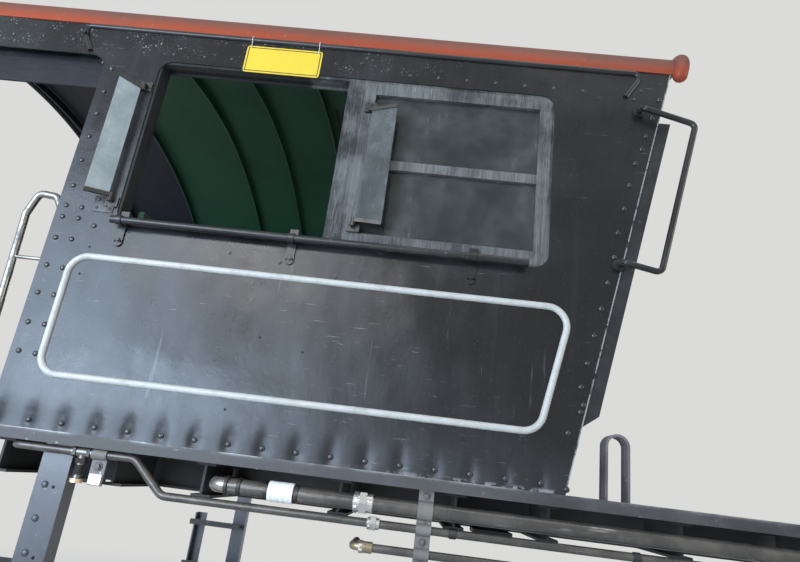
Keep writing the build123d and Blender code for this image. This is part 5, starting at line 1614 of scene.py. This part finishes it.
@dataclass
class Seats:
    """Seats with their lids, cushions and back pads, one on each side."""

    finishes: Finishes

    def build(self) -> None:
        """Dresses the boxes and stuffs the pads."""
        done = self.finishes
        dress(("seat_boxes", "seat_lid_right", "seat_lid_left"), done.bench)
        for side in Side:
            Pad(
                f"cushion_{side.word}", f"seat_cushion_{side.word}", f"lid_{side.word}", Rest.ON_LID, side
            ).build(done.hide)
            Pad(
                f"back_pad_{side.word}", "seat_back_pads", "cab", Rest.ON_BACK, side, inset=0.007, cap=0.009,
                channels=(-0.2, 0.2),
            ).build(done.hide)


@dataclass
class Sign:
    """Blank sign hung from the eave on two wires; corners of its plate in x and z."""

    finishes: Finishes
    left: float = -0.451
    right: float = -0.087
    foot: float = 1.890
    head: float = 2.037
    face_y: float = -1.527
    margin: float = 0.0075
    line: float = 0.0042

    def build(self) -> None:
        """Dresses the plate and adds its border and wires."""
        dress(("sign_plate",), self.finishes.sign)
        border = Shaper("sign_border")
        front, back = self.face_y - 0.0004, self.face_y + 0.0004
        x0, x1 = self.left + self.margin, self.right - self.margin
        z0, z1 = self.foot + self.margin, self.head - self.margin
        border.block((x0, front, z0), (x1, back, z0 + self.line), 0.0)
        border.block((x0, front, z1 - self.line), (x1, back, z1), 0.0)
        border.block((x0, front, z0), (x0 + self.line, back, z1), 0.0)
        border.block((x1 - self.line, front, z0), (x1, back, z1), 0.0)
        border.finish(self.finishes.sign_edge, "cab")
        wires = Shaper("sign_wires")
        for x in (self.left + 0.020, self.right - 0.020):
            wires.tube(
                [(x, self.face_y + 0.001, self.head - 0.014), (x, self.face_y - 0.002, self.head - 0.012),
                 (x + 0.001, self.face_y - 0.009, self.head + 0.012),
                 (x, self.face_y - 0.0135, self.head + 0.030),
                 (x - 0.001, self.face_y - 0.010, self.head + 0.044),
                 (x, self.face_y - 0.004, self.head + 0.052)],
                0.0014, 8,
            )
        wires.finish(self.finishes.wire, "cab", 60.0)


@dataclass(frozen=True)
class Lamp:
    """One soft lamp, round, or oblong where tall is given."""

    place: Point
    aim: Point
    size: float
    power: float
    colour: Colour = (1.0, 1.0, 1.0)
    tall: float = 0.0


@dataclass
class Studio:
    """Floor, backdrop, lamps and the camera."""

    floor_z: float = -1.02
    floor_half: float = 60.0
    lens: float = 27.0
    soft: Colour = (0.86, 0.93, 1.0)
    soft_power: float = 0.36
    pale: Colour = (0.74, 0.74, 0.73)
    backdrop: Colour = (0.71, 0.71, 0.70)
    fade: tuple[float, float] = (2.6, 5.2)
    eye: Point = (0.540, -3.870, 0.160)
    right: Point = (0.9928, 0.01536, 0.11878)
    down: Point = (0.10768, 0.31971, -0.94138)
    ahead: Point = (-0.05244, 0.94739, 0.31575)
    lamps: tuple[Lamp, ...] = (
        Lamp((-4.6, -6.0, 1.7), (-0.4, -1.5, 0.9), 3.9, 308.0, (0.65, 0.80, 1.0)),
        Lamp((-2.4, -6.5, 0.45), (-0.3, -1.5, 0.4), 3.4, 200.0, (0.67, 0.81, 1.0), 1.3),
        Lamp((-1.6, -6.4, 2.75), (-0.2, -1.5, 1.2), 2.8, 85.0, (1.0, 0.98, 0.94), 0.7),
        Lamp((1.5, -3.2, 6.5), (0.4, -0.8, 1.6), 4.0, 65.0),
        Lamp((6.5, -3.6, 2.6), (1.0, -1.2, 1.0), 3.0, 90.0, (1.0, 0.97, 0.93)),
        Lamp((0.0, 6.5, 5.0), (0.0, 0.5, 1.2), 5.0, 300.0),
    )

    def build(self) -> None:
        """Makes the stage, the lamps, the world and the camera."""
        self.stage()
        self.light()
        self.world()
        self.camera()

    def stage(self) -> None:
        """Makes the floor."""
        data = bpy.data.meshes.new("floor")
        half = self.floor_half
        data.from_pydata(
            [(-half, -half, self.floor_z), (half, -half, self.floor_z), (half, half, self.floor_z),
             (-half, half, self.floor_z)], [], [(0, 1, 2, 3)],
        )
        floor = placed("floor", data)
        b = Bench("floor_pale")
        x, y = b.axis("X"), b.axis("Y")
        far = ((x * x + y * y) ** 0.5).step(*self.fade) * self.looked_at(b)
        near = b.surface(Base_Color=self.pale, Roughness=0.9)
        beyond = b.node("ShaderNodeEmission", None, {"Color": self.backdrop, "Strength": 1.0})
        both = b.node("ShaderNodeMixShader", None, {0: far, 1: near.outputs[0], 2: beyond.outputs[0]})
        floor.data.materials.append(b.output(both.outputs[0]))

    def looked_at(self, b: Bench) -> Sock:
        """1 for rays that show the background: seen, mirrored or through glass.

        Args:
            b: the bench that needs it.

        Returns:
            The mask.
        """
        path = b.node("ShaderNodeLightPath")
        seen = Sock(b, path.outputs["Is Camera Ray"]) + Sock(b, path.outputs["Is Transmission Ray"])
        return (seen + Sock(b, path.outputs["Is Glossy Ray"])).limit()

    def light(self) -> None:
        """Hangs the soft lamps."""
        for index, lamp in enumerate(self.lamps):
            data = bpy.data.lights.new(f"lamp_{index}", "AREA")
            data.shape = "RECTANGLE" if lamp.tall else "DISK"
            data.size = lamp.size
            if lamp.tall:
                data.size_y = lamp.tall
            data.energy = lamp.power
            data.color = lamp.colour
            made = placed(f"lamp_{index}", data)
            made.location = lamp.place
            made.rotation_euler = (Vector(lamp.aim) - Vector(lamp.place)).to_track_quat("-Z", "Y").to_euler()

    def world(self) -> None:
        """Makes the world: pale where it is seen, reflected or looked through, softer where it lights."""
        b = Bench("studio", world=True)
        bpy.context.scene.world = b.material
        soft = b.node("ShaderNodeBackground", None, {"Color": self.soft, "Strength": self.soft_power})
        plain = b.node("ShaderNodeBackground", None, {"Color": self.backdrop, "Strength": 1.0})
        both = b.node(
            "ShaderNodeMixShader", None, {0: self.looked_at(b), 1: soft.outputs[0], 2: plain.outputs[0]}
        )
        b.output(both.outputs[0])

    def camera(self) -> None:
        """Makes the camera at the photograph's viewpoint and roll."""
        data = bpy.data.cameras.new("camera")
        data.sensor_fit = "HORIZONTAL"
        data.sensor_width = 36.0
        data.lens = self.lens
        data.clip_end = 200.0
        camera = placed("camera", data)
        right, up, back = Vector(self.right), -Vector(self.down), -Vector(self.ahead)
        turn = Matrix((right, up, back)).transposed().to_4x4()
        camera.matrix_world = Matrix.Translation(self.eye) @ turn
        bpy.context.scene.camera = camera


def main() -> None:
    """Builds the cab's looks and the studio."""
    logging.basicConfig(level=logging.INFO, format="%(name)s: %(message)s")
    bpy.context.scene.view_settings.view_transform = "Standard"
    finishes = Finishes()
    for assembly in (SideSheets, Roof, Windows, FrontWall, Underside, Seats, Sign):
        assembly(finishes).build()
    Studio().build()


if __name__ == "__main__":
    main()
